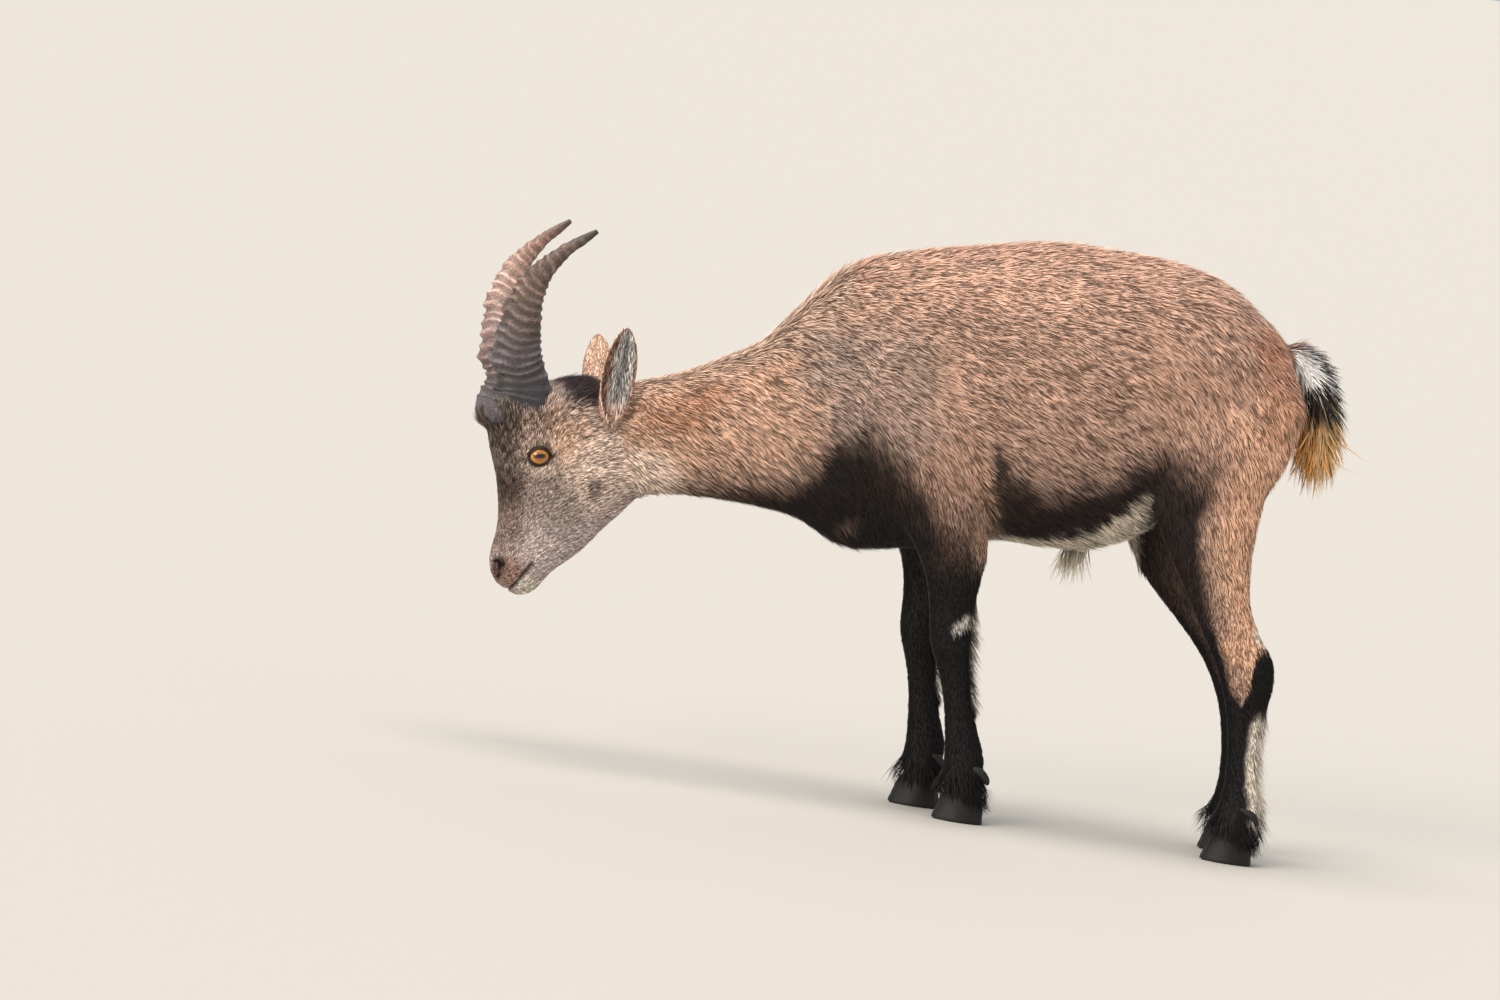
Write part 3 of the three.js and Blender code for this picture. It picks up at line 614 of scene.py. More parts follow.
skin_count = len(skin_points)
mesh_points, mesh_faces = [skin_points], [quads.tolist()]
ear_inside, ear_share, ear_across = ([np.zeros(skin_count)] for _ in range(3))
start = skin_count
for side in SIDES:
    rings = ear_rings(side)
    points, faces = skin_over(rings)
    inward = normals_of(points, triangles_of(faces))
    if (inward * (points - points.mean(0))).sum() < 0:
        faces = [tuple(reversed(face)) for face in faces]
    mesh_points.append(points)
    mesh_faces.append([tuple(int(k) + start for k in face) for face in faces])
    inner = np.tile(np.arange(2 * EAR_ACROSS) >= EAR_ACROSS, EAR_ALONG).astype(float)
    ear_inside.append(np.append(inner, [0, 0]))
    strip = np.linspace(-1, 1, EAR_ACROSS) * -SIDES[side]
    ear_across.append(np.append(np.tile(np.append(strip, strip[::-1]), EAR_ALONG), [0, 0]))
    height = np.repeat(np.linspace(0, 1, EAR_ALONG), 2 * EAR_ACROSS)
    ear_share.append(np.append(height, [0, 1]))
    start += len(points)
ear_inside = np.concatenate(ear_inside)
ear_share = np.concatenate(ear_share)
ear_across = np.concatenate(ear_across)
skin_all = np.vstack(mesh_points)
skin_mesh = mesh_of("skin", skin_all, [face for group in mesh_faces for face in group])
print("skin with ears", len(skin_all), "points")

# %% [markdown]
# Each leg was drawn as it stands on the slope and was then brought to the level floor. This
# undoes that, so that a marking on a leg is given by where it lies in the photograph.

# %% Leg measures
LEG_POSE = {
    "foreleg_left": {"top": 370, "sole": 0, "foot": -9, "step": -16, "flex": (0, 0.5, 0.3)},
    "foreleg_right": {"top": 430, "sole": 0, "foot": -9, "step": -64, "flex": (-6, 0.5, 0.3)},
    "hindleg_left": {"top": 430, "sole": -114, "foot": 319, "step": -4, "flex": (2, 0.5, 0.3)},
    "hindleg_right": {"top": 500, "sole": -114, "foot": 319, "step": 8, "flex": (-52, 0.3, 0.2)},
}


def of_leg(points, leg):
    pose = LEG_POSE[leg]
    x, y, z = (points / MM).T
    ground = turned(pose["foot"], pose["sole"], PITCH)[1] + BODY_LIFT
    bend, place, reach = pose["flex"]
    down = np.zeros(len(points))
    for _ in range(4):
        along = pose["step"] * down + bend * np.exp(-(((down - place) / reach) ** 2))
        u, v = turned(x - SHIFT - along, z - BODY_LIFT + ground * down, -PITCH)
        down = np.clip((pose["top"] - v) / (pose["top"] - pose["sole"]), 0, 1.2)
    return np.stack([u, y, v], -1)


ear_count = len(skin_all) - skin_count
share = {part: np.append(values, np.zeros(ear_count)) for part, values in part_share.items()}
share["ear"] = np.append(np.zeros(skin_count), np.ones(ear_count))
zone = np.append(labels, np.full(ear_count, len(PARTS)))
ZONES = [*PARTS, "ear"]
drawn = of_body(skin_all)
for leg in LEGS:
    mine = zone == ZONES.index(leg)
    drawn[mine] = of_leg(skin_all[mine], leg)
face_at = of_head(skin_all)
print("measured", len(drawn), "points")

# %% [markdown]
# Markings. A young male's coat is orange-brown and grizzled, with a dark band along the lower
# flank, a cream belly, a nearly black chest and black legs with pale edges. Each marking is a
# colour with a soft mask over the body's own measures, so the same function paints the skin
# and every hair tuft that grows from it, on both sides alike. The lines below are edges of
# markings in the side view, as pairs of u and v.

# %% Coat colours and edges
COAT_COLOURS = {
    "tan": "#b8937e",
    "grey": "#95877f",
    # back: the paler top of the back, lightened in part as a painted highlight of the light from above
    "back": "#cba28c",
    "flank": "#80695d",
    "band": "#241918",
    "belly": "#d8cdb8",
    "chest": "#1c1413",
    "copper": "#3d2b25",
    "leg": "#0e0b0d",
    "pale_edge": "#dcc9ad",
    "patch": "#c2bab6",
    "rust": "#b98260",
    "neck": "#cfa78d",
    # crest: the pale top line of the neck, a painted highlight of the light from above
    "crest": "#cbb29f",
    "rump": "#b58367",
    "haunch": "#dcae8f",
    "gaskin": "#a88a79",
    "cream": "#efe4d4",
    "face": "#d2b9a8",
    "cheek": "#f0d6c4",
    "forehead": "#372a24",
    "brow": "#6f4f3d",
    "bridge": "#80695d",
    "muzzle": "#d9c8c4",
    "lip": "#8b6450",
    "chin": "#fbf0df",
    "black": "#0f0c0c",
    "poll": "#33252a",
    # The backs of the ears: partly their own pinkish tan and partly painted light shining through the thin
    # ears.
    "lit_ear_back": "#fbd0b6",
    "ear_hair": "#d2d0cd",
    "ear_dark": "#3b3438",
    "ear_rim": "#a37d67",
    "ear_tip": "#c79b84",
    "throat": "#f8dfcc",
    "temple": "#e6bfa2",
}
COAT_LINEAR = {name: linear(code) for name, code in COAT_COLOURS.items()}
BELLY_LINE = [(-10, 350), (20, 357), (85, 353), (136, 362), (169, 381), (195, 404), (228, 420), (300, 426)]
CHEST_LINE = [
    (-420, 404), (-366, 434), (-330, 436), (-258, 440), (-218, 466),
    (-195, 500), (-150, 502), (-106, 462), (-66, 420), (10, 380),
]
HAUNCH_LINE = [(327, 155), (304, 220), (298, 267), (288, 318), (282, 372), (302, 424), (318, 462), (300, 510)]
TONGUE = [(300, 225), (322, 134), (338, 116), (350, 142), (358, 184), (380, 200)]
FRONT_LINE = [(-638, 325), (-634, 343), (-627, 366), (-625, 400), (-628, 438), (-635, 476), (-634, 511)]
FORE_REAR = [(24, 2), (26, 50), (16, 115), (8, 155), (3, 193), (4, 249), (17, 324), (17, 360), (14, 408)]
HIND_REAR = [(352, -114), (369, -40), (365, -7), (365, 34), (371, 80), (384, 123), (387, 166), (371, 202)]


def level_at(line, u):
    return np.interp(u, [p[0] for p in line], [p[1] for p in line])


def edge_at(line, v):
    return np.interp(v, [p[1] for p in line], [p[0] for p in line])


def window(value, low, high, soft):
    return smooth(value, low - soft, low + soft) * below(value, high - soft, high + soft)


# %% [markdown]
# A marking is given as the name of its colour and a mask, and later ones lie over earlier ones.
# Trunk and legs come first: the broad tones of back, neck and flank, then band, belly and
# chest, then the legs with their pale edges and patches. The edges wander a little with noise,
# less on the legs, where they are crisp.

# %% Markings of trunk and legs


def trunk_layers(at, points, fore, hind, neck_part):
    u, y, v = at.T
    legs = np.clip(fore + hind, 0, 1)
    loose = 1 - 0.75 * legs * below(v, 300, 420)
    u = u + ripple(points / MM, 34, 3) * 5 * loose
    v = v + ripple(points / MM, 28, 4) * 5 * loose
    belly = level_at(BELLY_LINE, u)
    chest = level_at(CHEST_LINE, u)
    behind = smooth(u, -30, 20)
    # The top of the back is painted paler, partly its own tone and partly a painted highlight of the light
    # from above.
    yield "back", smooth(v, 610, 715)
    yield "neck", below(u, -300, -130)
    yield "grey", 0.5 * spot(u, v, (-125, 535), (95, 95), 30)
    yield "back", 0.5 * spot(u, v, (-44, 545), (28, 44), -50)
    yield "grey", 0.5 * spot(u, v, (-205, 590), (52, 34), 40)
    yield "rust", 0.8 * spot(u, v, (-398, 535), (64, 44)) + 0.35 * spot(u, v, (-310, 570), (90, 34), 14)
    # A pale line along the top of the neck is a painted highlight of the light from above.
    ridge = level_at([(-440, 562), (-280, 611), (-136, 716)], u)
    yield "crest", neck_part * smooth(v, ridge - 60, ridge - 10) * 0.7
    yield "throat", spot(u, v, (-452, 428), (68, 40))
    yield "flank", 0.35 * behind * below(v, 430, 560) * below(u, 230, 280)
    yield "rump", 0.8 * spot(u, v, (400, 540), (46, 120)) + 0.6 * spot(u, v, (388, 606), (44, 26))
    edge = belly - 22 * smooth(u, 110, 220)
    yield "band", behind * below(v, edge + 38, edge + 96) * below(u, 230, 290)
    yield "band", 0.85 * spot(u, v, (26, 410), (28, 38), -20)
    yield "band", 0.4 * spot(u, v, (222, 440), (56, 30), 34)
    inner = 1 - hind * smooth(np.abs(y), 18, 40)
    yield "belly", behind * inner * below(v, belly - 4, belly + 8) * below(u, 330, 380)
    yield "chest", (1 - behind) * below(v, chest - 44, chest + 40) * below(u, -100, -40)
    # A paler lobe on the brisket is partly paler fur and partly a painted highlight on the front of the
    # chest's bulge.
    yield "flank", 0.6 * spot(u, v, (-142, 380), (50, 15), 12)
    arm = 420 - 0.45 * (u + 80)
    yield "copper", 0.8 * fore * below(v, arm - 70, arm + 80)
    yield "band", 0.9 * spot(u, v, (16, 425), (9, 60))
    yield "leg", 0.9 * fore * below(v, arm - 60, arm + 25) * below(u, -76, -34)
    yield "leg", fore * below(v, 292, 384 - 0.4 * u)
    rear = edge_at(FORE_REAR, v)
    yield "haunch", 0.7 * fore * smooth(u, rear - 34, rear - 6) * window(v, 330, 470, 30)
    yield "pale_edge", fore * smooth(u, rear - 9, rear - 4) * window(v, 150, 285, 12)
    yield "patch", 0.95 * fore * spot(u, v, (-17, 247), (16, 8), 38) * smooth(np.abs(y), 62, 72)
    split = edge_at(HAUNCH_LINE, v)
    yield "gaskin", hind * smooth(u, split - 14, split + 16) * below(v, 380, 470)
    yield "haunch", hind * smooth(u, split, split + 40) * below(v, 440, 560)
    yield "haunch", 0.9 * hind * spot(u, v, (336, 190), (20, 62), -74)
    yield "band", hind * below(u, split - 14, split + 10) * below(v, 400, 490)
    yield "band", 0.9 * hind * below(np.abs(y), 58, 74) * below(v, 360, 420)
    yield "band", 0.3 * spot(u, v, (280, 450), (34, 44))
    tongue = level_at(TONGUE, u)
    yield "leg", hind * below(v, tongue - 9, tongue + 9)
    rear = edge_at(HIND_REAR, v)
    yield "cream", hind * spot(u, v, (367, 213), (13, 19))
    yield "cream", hind * smooth(u, rear - 25, rear - 14) * window(v, -46, 92, 12)


# %% [markdown]
# The head has its own measures, without the turn of the neck. Its tones run from the dark line
# of the forehead to the pale cheek, with small dark blotches, lips, chin and a dark rim round
# the eye. Ears, tail and sheath follow, and one function lays all the colours over each other.

# %% Markings of head, ears and tail


def head_layers(at, points):
    u, y, v = at.T
    lip = distance_to_line(u, v, MOUTH_LINE)
    u = u + ripple(points / MM, 14, 5) * 2.2
    v = v + ripple(points / MM, 16, 6) * 2.2
    blotch = smooth(ripple(points / MM, 8, 12), -0.5, 1.3)
    front = u - edge_at(FRONT_LINE, v)
    yield "face", np.ones(len(u))
    yield "temple", 0.9 * spot(u, v, (-520, 470), (62, 40), -38)
    yield "cheek", spot(u, v, (-494, 446), (46, 62), -38)
    yield "muzzle", 0.8 * below(v, 350, 420)
    yield "grey", 0.7 * spot(u, v, (-565, 402), (60, 32), -52)
    yield "brow", (0.4 + 0.5 * blotch) * spot(u, v, (-590, 500), (46, 28), 8)
    yield "brow", 0.6 * blotch * spot(u, v, (-548, 505), (44, 26), -30)
    yield "bridge", 0.9 * below(front, 18, 50) * window(v, 328, 425, 22)
    yield "forehead", (0.75 + 0.25 * blotch) * below(front, 12, 44) * window(v, 395, 560, 24)
    yield "forehead", 0.6 * blotch * spot(u, v, (-606, 492), (42, 36))
    yield "poll", spot(u, v, (-521, 546), (52, 27), -10)
    yield "poll", 0.8 * blotch * spot(u, v, (-520, 518), (42, 22), -30)
    yield "lip", 0.85 * spot(u, v, (-617, 306), (22, 21))
    yield "chin", spot(u, v, (-588, 286), (20, 13), -40)
    yield "forehead", 0.7 * spot(u, v, (-511, 414), (9, 15), 15)
    yield "cheek", 0.8 * spot(u, v, (-574, 438), (20, 8), 12)
    yield "forehead", 0.8 * spot(u, v, (-598, 453), (9, 4.5), 12)
    # A dark line along the parting of the lips is painted shade in the mouth's groove.
    yield "forehead", 0.85 * below(lip, 1.6, 4.2)
    # The nostril is painted black, the painted shade inside its dent.
    side = smooth(np.abs(y), 2.5, 5)
    yield "black", side * spot(u, v, **NOSTRIL)
    yield "forehead", 0.9 * almond(at, 4.5)


def painted(at, face, points, parts, inside, height, across):
    colour = np.tile(COAT_LINEAR["tan"], (len(at), 1))
    fore = parts["foreleg_left"] + parts["foreleg_right"]
    hind = parts["hindleg_left"] + parts["hindleg_right"]
    layers = list(trunk_layers(at, points, fore, hind, parts["neck"]))
    funnel = parts["ear"] * below(height, 0.06, 0.3)
    layers += [(name, (parts["head"] + funnel) * mask) for name, mask in head_layers(face, points)]
    ear = parts["ear"] - funnel
    rear_rim = smooth(across, 0.7, 0.9)
    front_rim = below(across, -0.42, -0.1 - 0.3 * height)
    streak = np.exp(-(((across - 0.15) / 0.22) ** 2)) * window(height, 0.2, 0.9, 0.1)
    dock = parts["dock"]
    layers += [
        # The ear backs are painted pale, partly their own tone and partly painted light shining through them.
        ("lit_ear_back", ear),
        ("ear_hair", ear * inside),
        ("ear_dark", 0.7 * ear * inside * streak),
        ("ear_rim", ear * inside * np.maximum(front_rim, rear_rim)),
        ("ear_tip", 0.8 * ear * smooth(height, 0.82, 0.98)),
        ("band", dock * smooth(at[:, 0], 418, 436)),
        ("cream", dock * spot(*at[:, [0, 2]].T, (428, 548), (24, 36))),
        ("cream", parts["sheath"]),
    ]
    for name, mask in layers:
        colour = colour + (COAT_LINEAR[name] - colour) * np.clip(mask, 0, 1)[:, None]
    return colour


skin_colour = painted(drawn, face_at, skin_all, share, ear_inside, ear_share, ear_across)
print("painted", len(skin_colour), "points with", len(COAT_COLOURS), "colours")

# %% [markdown]
# The skin's own finish is the short underfur that shows between the tufts. Real underfur is
# matt keratin, rough and with hardly any shine. Its streaks are 1.5 mm wide, a little wider than
# a tuft, because single hairs of 0.05 mm are too fine to show, and patches of 12 mm break up the
# tone. It is painted darker than the tufts, a painted shade deep in the coat, but hardly on the
# short face.

# %% Underfur on the skin
STREAK_WIDTH = 1.5
PATCH_WIDTH = 12
MULTIPLY = {"data_type": "RGBA", "blend_type": "MULTIPLY"}
UNDERFUR_PAINTED_SHADE = {"head": 0.95, "rest": 0.72}


def set_colours(mesh, name, colours):
    layer = mesh.color_attributes.new(name, "FLOAT_COLOR", "POINT")
    flat = np.concatenate([colours, np.ones((len(colours), 1))], 1).astype(np.float32)
    layer.data.foreach_set("color", flat.ravel())


def hand_over(made, slot, *stands_for):
    """The piece rides on the still animal and stands for CAD nodes, if any; the slot is not used."""
    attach(made, "root")
    if stands_for:
        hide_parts(*stands_for)


def add_piece(name, points, faces, layer, colours, finish_of_it, slot, *stands_for):
    """A smooth piece with a colour at each point, handed over."""
    mesh = mesh_of(name, points, faces)
    set_colours(mesh, layer, colours)
    mesh.shade_smooth()
    made = piece(name, mesh, finish_of_it)
    hand_over(made, slot, *stands_for)
    return mesh


underfur, tree = material("short_underfur")
colour = add(tree, "ShaderNodeAttribute", {"attribute_name": "Coat"}).outputs["Color"]
place = add(tree, "ShaderNodeTexCoord").outputs["Object"]
streaks = add(tree, "ShaderNodeTexNoise", Vector=place, Scale=1 / (2 * STREAK_WIDTH * MM), Detail=6.0)
patches = add(tree, "ShaderNodeTexNoise", Vector=place, Scale=1 / (2 * PATCH_WIDTH * MM), Detail=3.0)
for pattern, amount, stops in (
    (streaks, 0.8, ((0.3, "#8c8c8c"), (0.7, "#ffffff"))),
    (patches, 1.0, ((0.25, "#d6d6d6"), (0.75, "#ffffff"))),
):
    tone = add(tree, "ShaderNodeValToRGB", stops=stops, i0=pattern.outputs["Fac"]).outputs["Color"]
    colour = add(tree, "ShaderNodeMix", MULTIPLY, i0=amount, i6=colour, i7=tone).outputs[2]
bump = add(tree, "ShaderNodeBump", Height=streaks.outputs["Fac"], Distance=0.6 * MM, Strength=0.6)
normal = bump.outputs["Normal"]
shader = {"Base_Color": colour, "Roughness": 0.85, "Normal": normal, "Specular_IOR_Level": 0.2}
finish(tree, add(tree, "ShaderNodeBsdfPrincipled", **shader))

# The underfur's colour is darkened here: painted shade deep in the coat, strong on the trunk and faint on the
# face.
under = UNDERFUR_PAINTED_SHADE["rest"] + (UNDERFUR_PAINTED_SHADE["head"] - UNDERFUR_PAINTED_SHADE["rest"]) * share["head"]
set_colours(skin_mesh, "Coat", skin_colour * under[:, None])
skin_mesh.shade_smooth()
leg_nodes = [f"{leg}_{stretch}" for leg in LEGS for stretch in ("upper", "lower")]
flesh_nodes = ["torso", "neck", "head", "ear_left", "ear_right", *leg_nodes]
hand_over(piece("skin", skin_mesh, underfur), "coat", *flesh_nodes)
print("skin", len(skin_mesh.polygons), "faces")

# %% [markdown]
# Horns. A young male's horn is a keratin sheath that grows from its root, so rings stand round
# it, close and even, with a few broad knobs on its front edge. It is lofted from a path of
# places and widths, and the rings are raised in the mesh, because they show in the outline.
# The colour goes from slate at the root to a worn pinkish brown, with painted shade in every
# groove, painted highlights on the rings and on the smooth front of the base, and the right horn
# is the paler one. A row of the path holds a place and the two half widths.

# %% Horn shape
HORN_PATH = [
    (-600, 27, 505, 35, 19),
    (-602, 27, 517, 45, 24.5),
    (-600, 27, 530, 43, 24.5),
    (-598, 28, 548, 37, 24),
    (-600.5, 31, 568, 32, 23.5),
    (-605, 36, 588, 30.5, 23),
    (-606, 41, 609, 29, 22),
    (-604, 47, 629, 26.5, 20.5),
    (-601.5, 52, 649, 23.5, 18),
    (-596, 57, 668, 20, 15.5),
    (-587.5, 61, 687, 17, 13.5),
    (-576, 65, 703, 13.5, 11),
    (-561, 68, 717, 10.5, 9),
    (-544.5, 71, 730, 7.6, 6.6),
    (-527.5, 74, 740, 6.2, 5.6),
    (-509, 76, 751, 3, 2.8),
]
HORN_RISE = {"left": 0, "right": 6}
HORN_KNOBS = [(5, 7), (6.6, 2.5), (8.1, 4.5), (9.3, 3), (10.4, 2)]
HORN_STEPS = 20
HORN_AROUND = 64
RING_EVERY = 12.5
RING_HEIGHT = 2.5
FINE_RING = {"every": 3.1, "height": 0.35}
RING_WANDER = {"size": 45, "height": 2.6}
RING_UNEVEN = {"size": 36, "share": 0.35}
RING_SAG = 5
NOISE_RADIUS = 30
NOISE_APART = 500
HORN_PLACES = [0, 0.16, 0.34, 0.6, 0.84, 1]
HORN_COLOURS = {
    "left": ["#43444c", "#504f57", "#756f76", "#887368", "#76645b", "#423a38"],
    "right": ["#5b5559", "#756b6f", "#b19a99", "#d7bab1", "#a9887a", "#5d4c47"],
}
# A pale blue-grey, the painted highlight on the smooth front of the horn's base.
HORN_FRONT_HIGHLIGHT = "#86828d"


def horn_rings(side):
    """Rings of points, with place along the horn, height on a ring and share of the front."""
    sign, last = SIDES[side], len(HORN_PATH) - 1
    places = np.linspace(0, last, last * HORN_STEPS + 1)
    rows = between(HORN_PATH, places)
    at = rows[:, :3] * (1, sign, 1) + np.outer(places / last * HORN_RISE[side], (0, 0, 1))
    along = unit(np.gradient(at, axis=0))
    aside = unit(np.array([0, 1, 0]) - along * along[:, 1:2])
    back = np.cross(aside, along)
    run = np.append(0, np.cumsum(np.linalg.norm(np.diff(at, axis=0), axis=1)))
    knob = sum(high * np.exp(-(((places - k) / 0.42) ** 2)) for k, high in HORN_KNOBS)
    turn = np.linspace(0, 2 * math.pi, HORN_AROUND, endpoint=False)
    front = np.maximum(-np.cos(turn), 0) ** 2
    across = NOISE_RADIUS * np.tile(np.cos(turn), len(run))
    around = NOISE_RADIUS * np.tile(np.sin(turn), len(run)) + NOISE_APART * sign
    grid = np.stack([np.repeat(run, HORN_AROUND), across, around], -1)
    wander = ripple(grid, RING_WANDER["size"], 14).reshape(len(run), -1) * RING_WANDER["height"]
    uneven = 1 + RING_UNEVEN["share"] * ripple(grid, RING_UNEVEN["size"], 15).reshape(len(run), -1)
    climb = run[:, None] + wander - RING_SAG * front[None, :]
    ring = np.exp(-(((climb / RING_EVERY % 1 - 0.5) / 0.22) ** 2)) * uneven
    fine = 0.5 + 0.5 * np.sin(2 * math.pi * climb / FINE_RING["every"])
    fade = np.interp(run, [0, 34, 70, 220, 280, run[-1]], [0.3, 0.65, 1, 1, 0.5, 0.1])[:, None]
    raised = (ring - 0.4) * fade * RING_HEIGHT * np.minimum(1, rows[:, 3:4] / 20) * (0.75 + 0.6 * front)
    raised = raised + fine * FINE_RING["height"] * np.minimum(1, rows[:, 3:4] / 12)
    deep = (rows[:, 3:4] + raised + knob[:, None] * front) * signed_power(np.cos(turn), 2.2)
    wide = (rows[:, 4:5] + raised) * signed_power(np.sin(turn), 2.2)
    points = at[:, None] + back[:, None] * deep[..., None] + aside[:, None] * wide[..., None]
    share = run[:, None] / run[-1] + 0 * ring
    height = (ring + 0.35 * fine - 0.6) * fade
    return [in_head(ring_points) for ring_points in points], share, height, front


def horn_colour(side, share, ring, front):
    """Tones along the horn, with painted highlights on the rings and on the smooth front of the base, and
    painted shade in the grooves.
    """
    tones = np.array([linear(code) for code in HORN_COLOURS[side]])
    colour = np.stack([np.interp(share, HORN_PLACES, tones[:, k]) for k in range(3)], -1)
    # Raised rings are painted paler, a painted highlight, and grooves darker, a painted shade.
    colour = colour * np.clip(1 + 0.8 * ring, 0.3, 1.8)[..., None]
    # The smooth front of the base gets a painted highlight.
    front_highlight = below(share, 0.05, 0.15) * smooth(front, 0.15, 0.6)
    return colour + (linear(HORN_FRONT_HIGHLIGHT) - colour) * (0.5 * front_highlight)[..., None]


# %% [markdown]
# The sheath is weathered keratin, matt but harder and a little glossier than hair. Broad
# patches and a fine grain break up its tone, and the grain also stands out in the bump. The
# bare skin of the lids and the horn of the hooves are made in the same way.

# %% Horn sheath


def mottled(tree, attribute, *patches):
    """The painted colour, broken up by patches of a size in millimetres and a dark tone."""
    colour = add(tree, "ShaderNodeAttribute", {"attribute_name": attribute}).outputs["Color"]
    place = add(tree, "ShaderNodeTexCoord").outputs["Object"]
    for size, dark in patches:
        noise = add(tree, "ShaderNodeTexNoise", Vector=place, Scale=1 / (2 * size * MM), Detail=5.0)
        grain = noise.outputs["Fac"]
        stops = ((0.3, dark), (0.7, "#ffffff"))
        tone = add(tree, "ShaderNodeValToRGB", stops=stops, i0=grain).outputs["Color"]
        colour = add(tree, "ShaderNodeMix", MULTIPLY, i0=1.0, i6=colour, i7=tone).outputs[2]
    return colour, grain


def grained(name, attribute, patches, depth, strength, **shader):
    """A mottled material whose finest patches also stand out in its bump, depth in millimetres."""
    made, tree = material(name)
    colour, grain = mottled(tree, attribute, *patches)
    bump = add(tree, "ShaderNodeBump", Height=grain, Distance=depth * MM, Strength=strength)
    shader.update(Base_Color=colour, Normal=bump.outputs["Normal"])
    finish(tree, add(tree, "ShaderNodeBsdfPrincipled", **shader))
    return made


horn_keratin = grained(
    "weathered_horn_keratin", "Horn", ((14, "#c9c0b6"), (1.6, "#a9a29b")), 0.4, 0.7, Roughness=0.55, IOR=1.54
)
for side in SIDES:
    rings, share_along, ring_height, front = horn_rings(side)
    points, faces = skin_over(rings)
    tones = horn_colour(side, share_along, ring_height, front).reshape(-1, 3)
    tones = np.vstack([tones, tones[:1], tones[-1:]])
    add_piece(f"horn_sheath_{side}", points, faces, "Horn", tones, horn_keratin, "horn", f"horn_{side}")
print("horns of", len(points), "points each")

# %% [markdown]
# Eyes. An ibex has an amber iris that fills the opening of the lids, and a dark pupil like a
# level bar. The ball is built of rings round the line of sight, so that the iris can be
# painted by its own radius, and a clear coat gives it the wet shine.

# %% Eyeballs
IRIS_RADIUS = 12.6
PUPIL_HALF = (6.6, 2.5)
EYE_RINGS = 70
EYE_AROUND = 112
EYE_COLOURS = {
    "iris": "#bf8136", "inner": "#9c5c20", "edge": "#2a1608", "pupil": "#0a0707", "ball": "#2a1c18",
}
EYE_TONE = {name: linear(code) for name, code in EYE_COLOURS.items()}


def iris_colour(along, across):
    radius = np.hypot(along, across)
    turn = np.arctan2(across, along)
    streaks = 0.5 + 0.25 * np.sin(turn * 41 + 3 * np.sin(turn * 7)) + 0.2 * np.sin(turn * 67)
    colour = EYE_TONE["inner"] + (EYE_TONE["iris"] - EYE_TONE["inner"]) * smooth(radius, 4, 10)[:, None]
    colour = colour * (0.82 + 0.3 * streaks)[:, None]
    pupil = (np.abs(along) / PUPIL_HALF[0]) ** 4 + (np.abs(across - 0.8) / PUPIL_HALF[1]) ** 4
    colour = colour + (EYE_TONE["edge"] - colour) * (0.7 * below(pupil, 1, 4))[:, None]
    colour = colour + (EYE_TONE["pupil"] - colour) * below(pupil, 0.8, 1.2)[:, None]
    return colour + (EYE_TONE["edge"] - colour) * smooth(radius, IRIS_RADIUS - 1.4, IRIS_RADIUS)[:, None]


wet_eye, tree = material("wet_cornea_over_iris")
colour = add(tree, "ShaderNodeAttribute", {"attribute_name": "Iris"}).outputs["Color"]
shader = {"Base_Color": colour, "Roughness": 0.25, "IOR": 1.38, "Coat_Weight": 1.0, "Coat_Roughness": 0.03}
finish(tree, add(tree, "ShaderNodeBsdfPrincipled", **shader))

for side, sign in SIDES.items():
    axes = np.array(eye_axes(sign))
    polar = np.linspace(0.01, math.pi - 0.01, EYE_RINGS)[:, None]
    turn = np.linspace(0, 2 * math.pi, EYE_AROUND, endpoint=False)[None]
    bulge = 1 + 0.05 * np.exp(-((polar / 0.7) ** 2))
    across, above = np.sin(polar) * np.cos(turn), np.sin(polar) * np.sin(turn)
    ball = np.stack([across, above, np.cos(polar) + 0 * turn], -1) * (EYE_RADIUS * bulge)[..., None]
    points, faces = skin_over([in_head(eye_centre(sign) + ring @ axes) for ring in ball])
    flat = ball.reshape(-1, 3)
    shade = iris_colour(flat[:, 0], flat[:, 1])
    shade = shade + (EYE_TONE["ball"] - shade) * smooth(-flat[:, 2], -2, 2)[:, None]
    shade = np.vstack([shade, shade[:1], shade[-1:]])
    if sign > 0:
        faces = [tuple(reversed(face)) for face in faces]
    add_piece(f"eyeball_{side}", points, faces, "Iris", shade, wet_eye, "eye", f"eye_{side}")
print("eyeballs of", len(points), "points")

# %% [markdown]
# Lids. A dark bare rim runs round each eye and rises over the ball, thicker above, with a fold
# behind it. It is bare skin, kept moist by the eye and so smoother than the rest. It is a
# closed band lofted round the almond of the opening, and its outer edge dives under the hair. A
# row holds its size as a share of the opening, and how far it stands off the ball below and
# above the eye.

# %% Lids
LID_ROWS = [
    (0.9, -0.5, -0.5), (0.97, 0.35, 0.5), (1.02, 1.2, 1.7), (1.1, 1.5, 2.4), (1.2, 1.0, 2.1),
    (1.3, 0.6, 1.4), (1.42, 0.3, 0.9), (1.56, -2.2, -1.8), (1.2, -3.0, -3.0), (0.9, -2.0, -2.0),
]
LID_AROUND = 72
LID_COLOURS = ["#1b1211"] * 5 + ["#33251f"] * 5

bare_skin = grained(
    "bare_dark_skin", "Skin", ((5, "#c4bcb8"), (0.7, "#b0a8a4")), 0.25, 0.6, Roughness=0.42, IOR=1.45
)

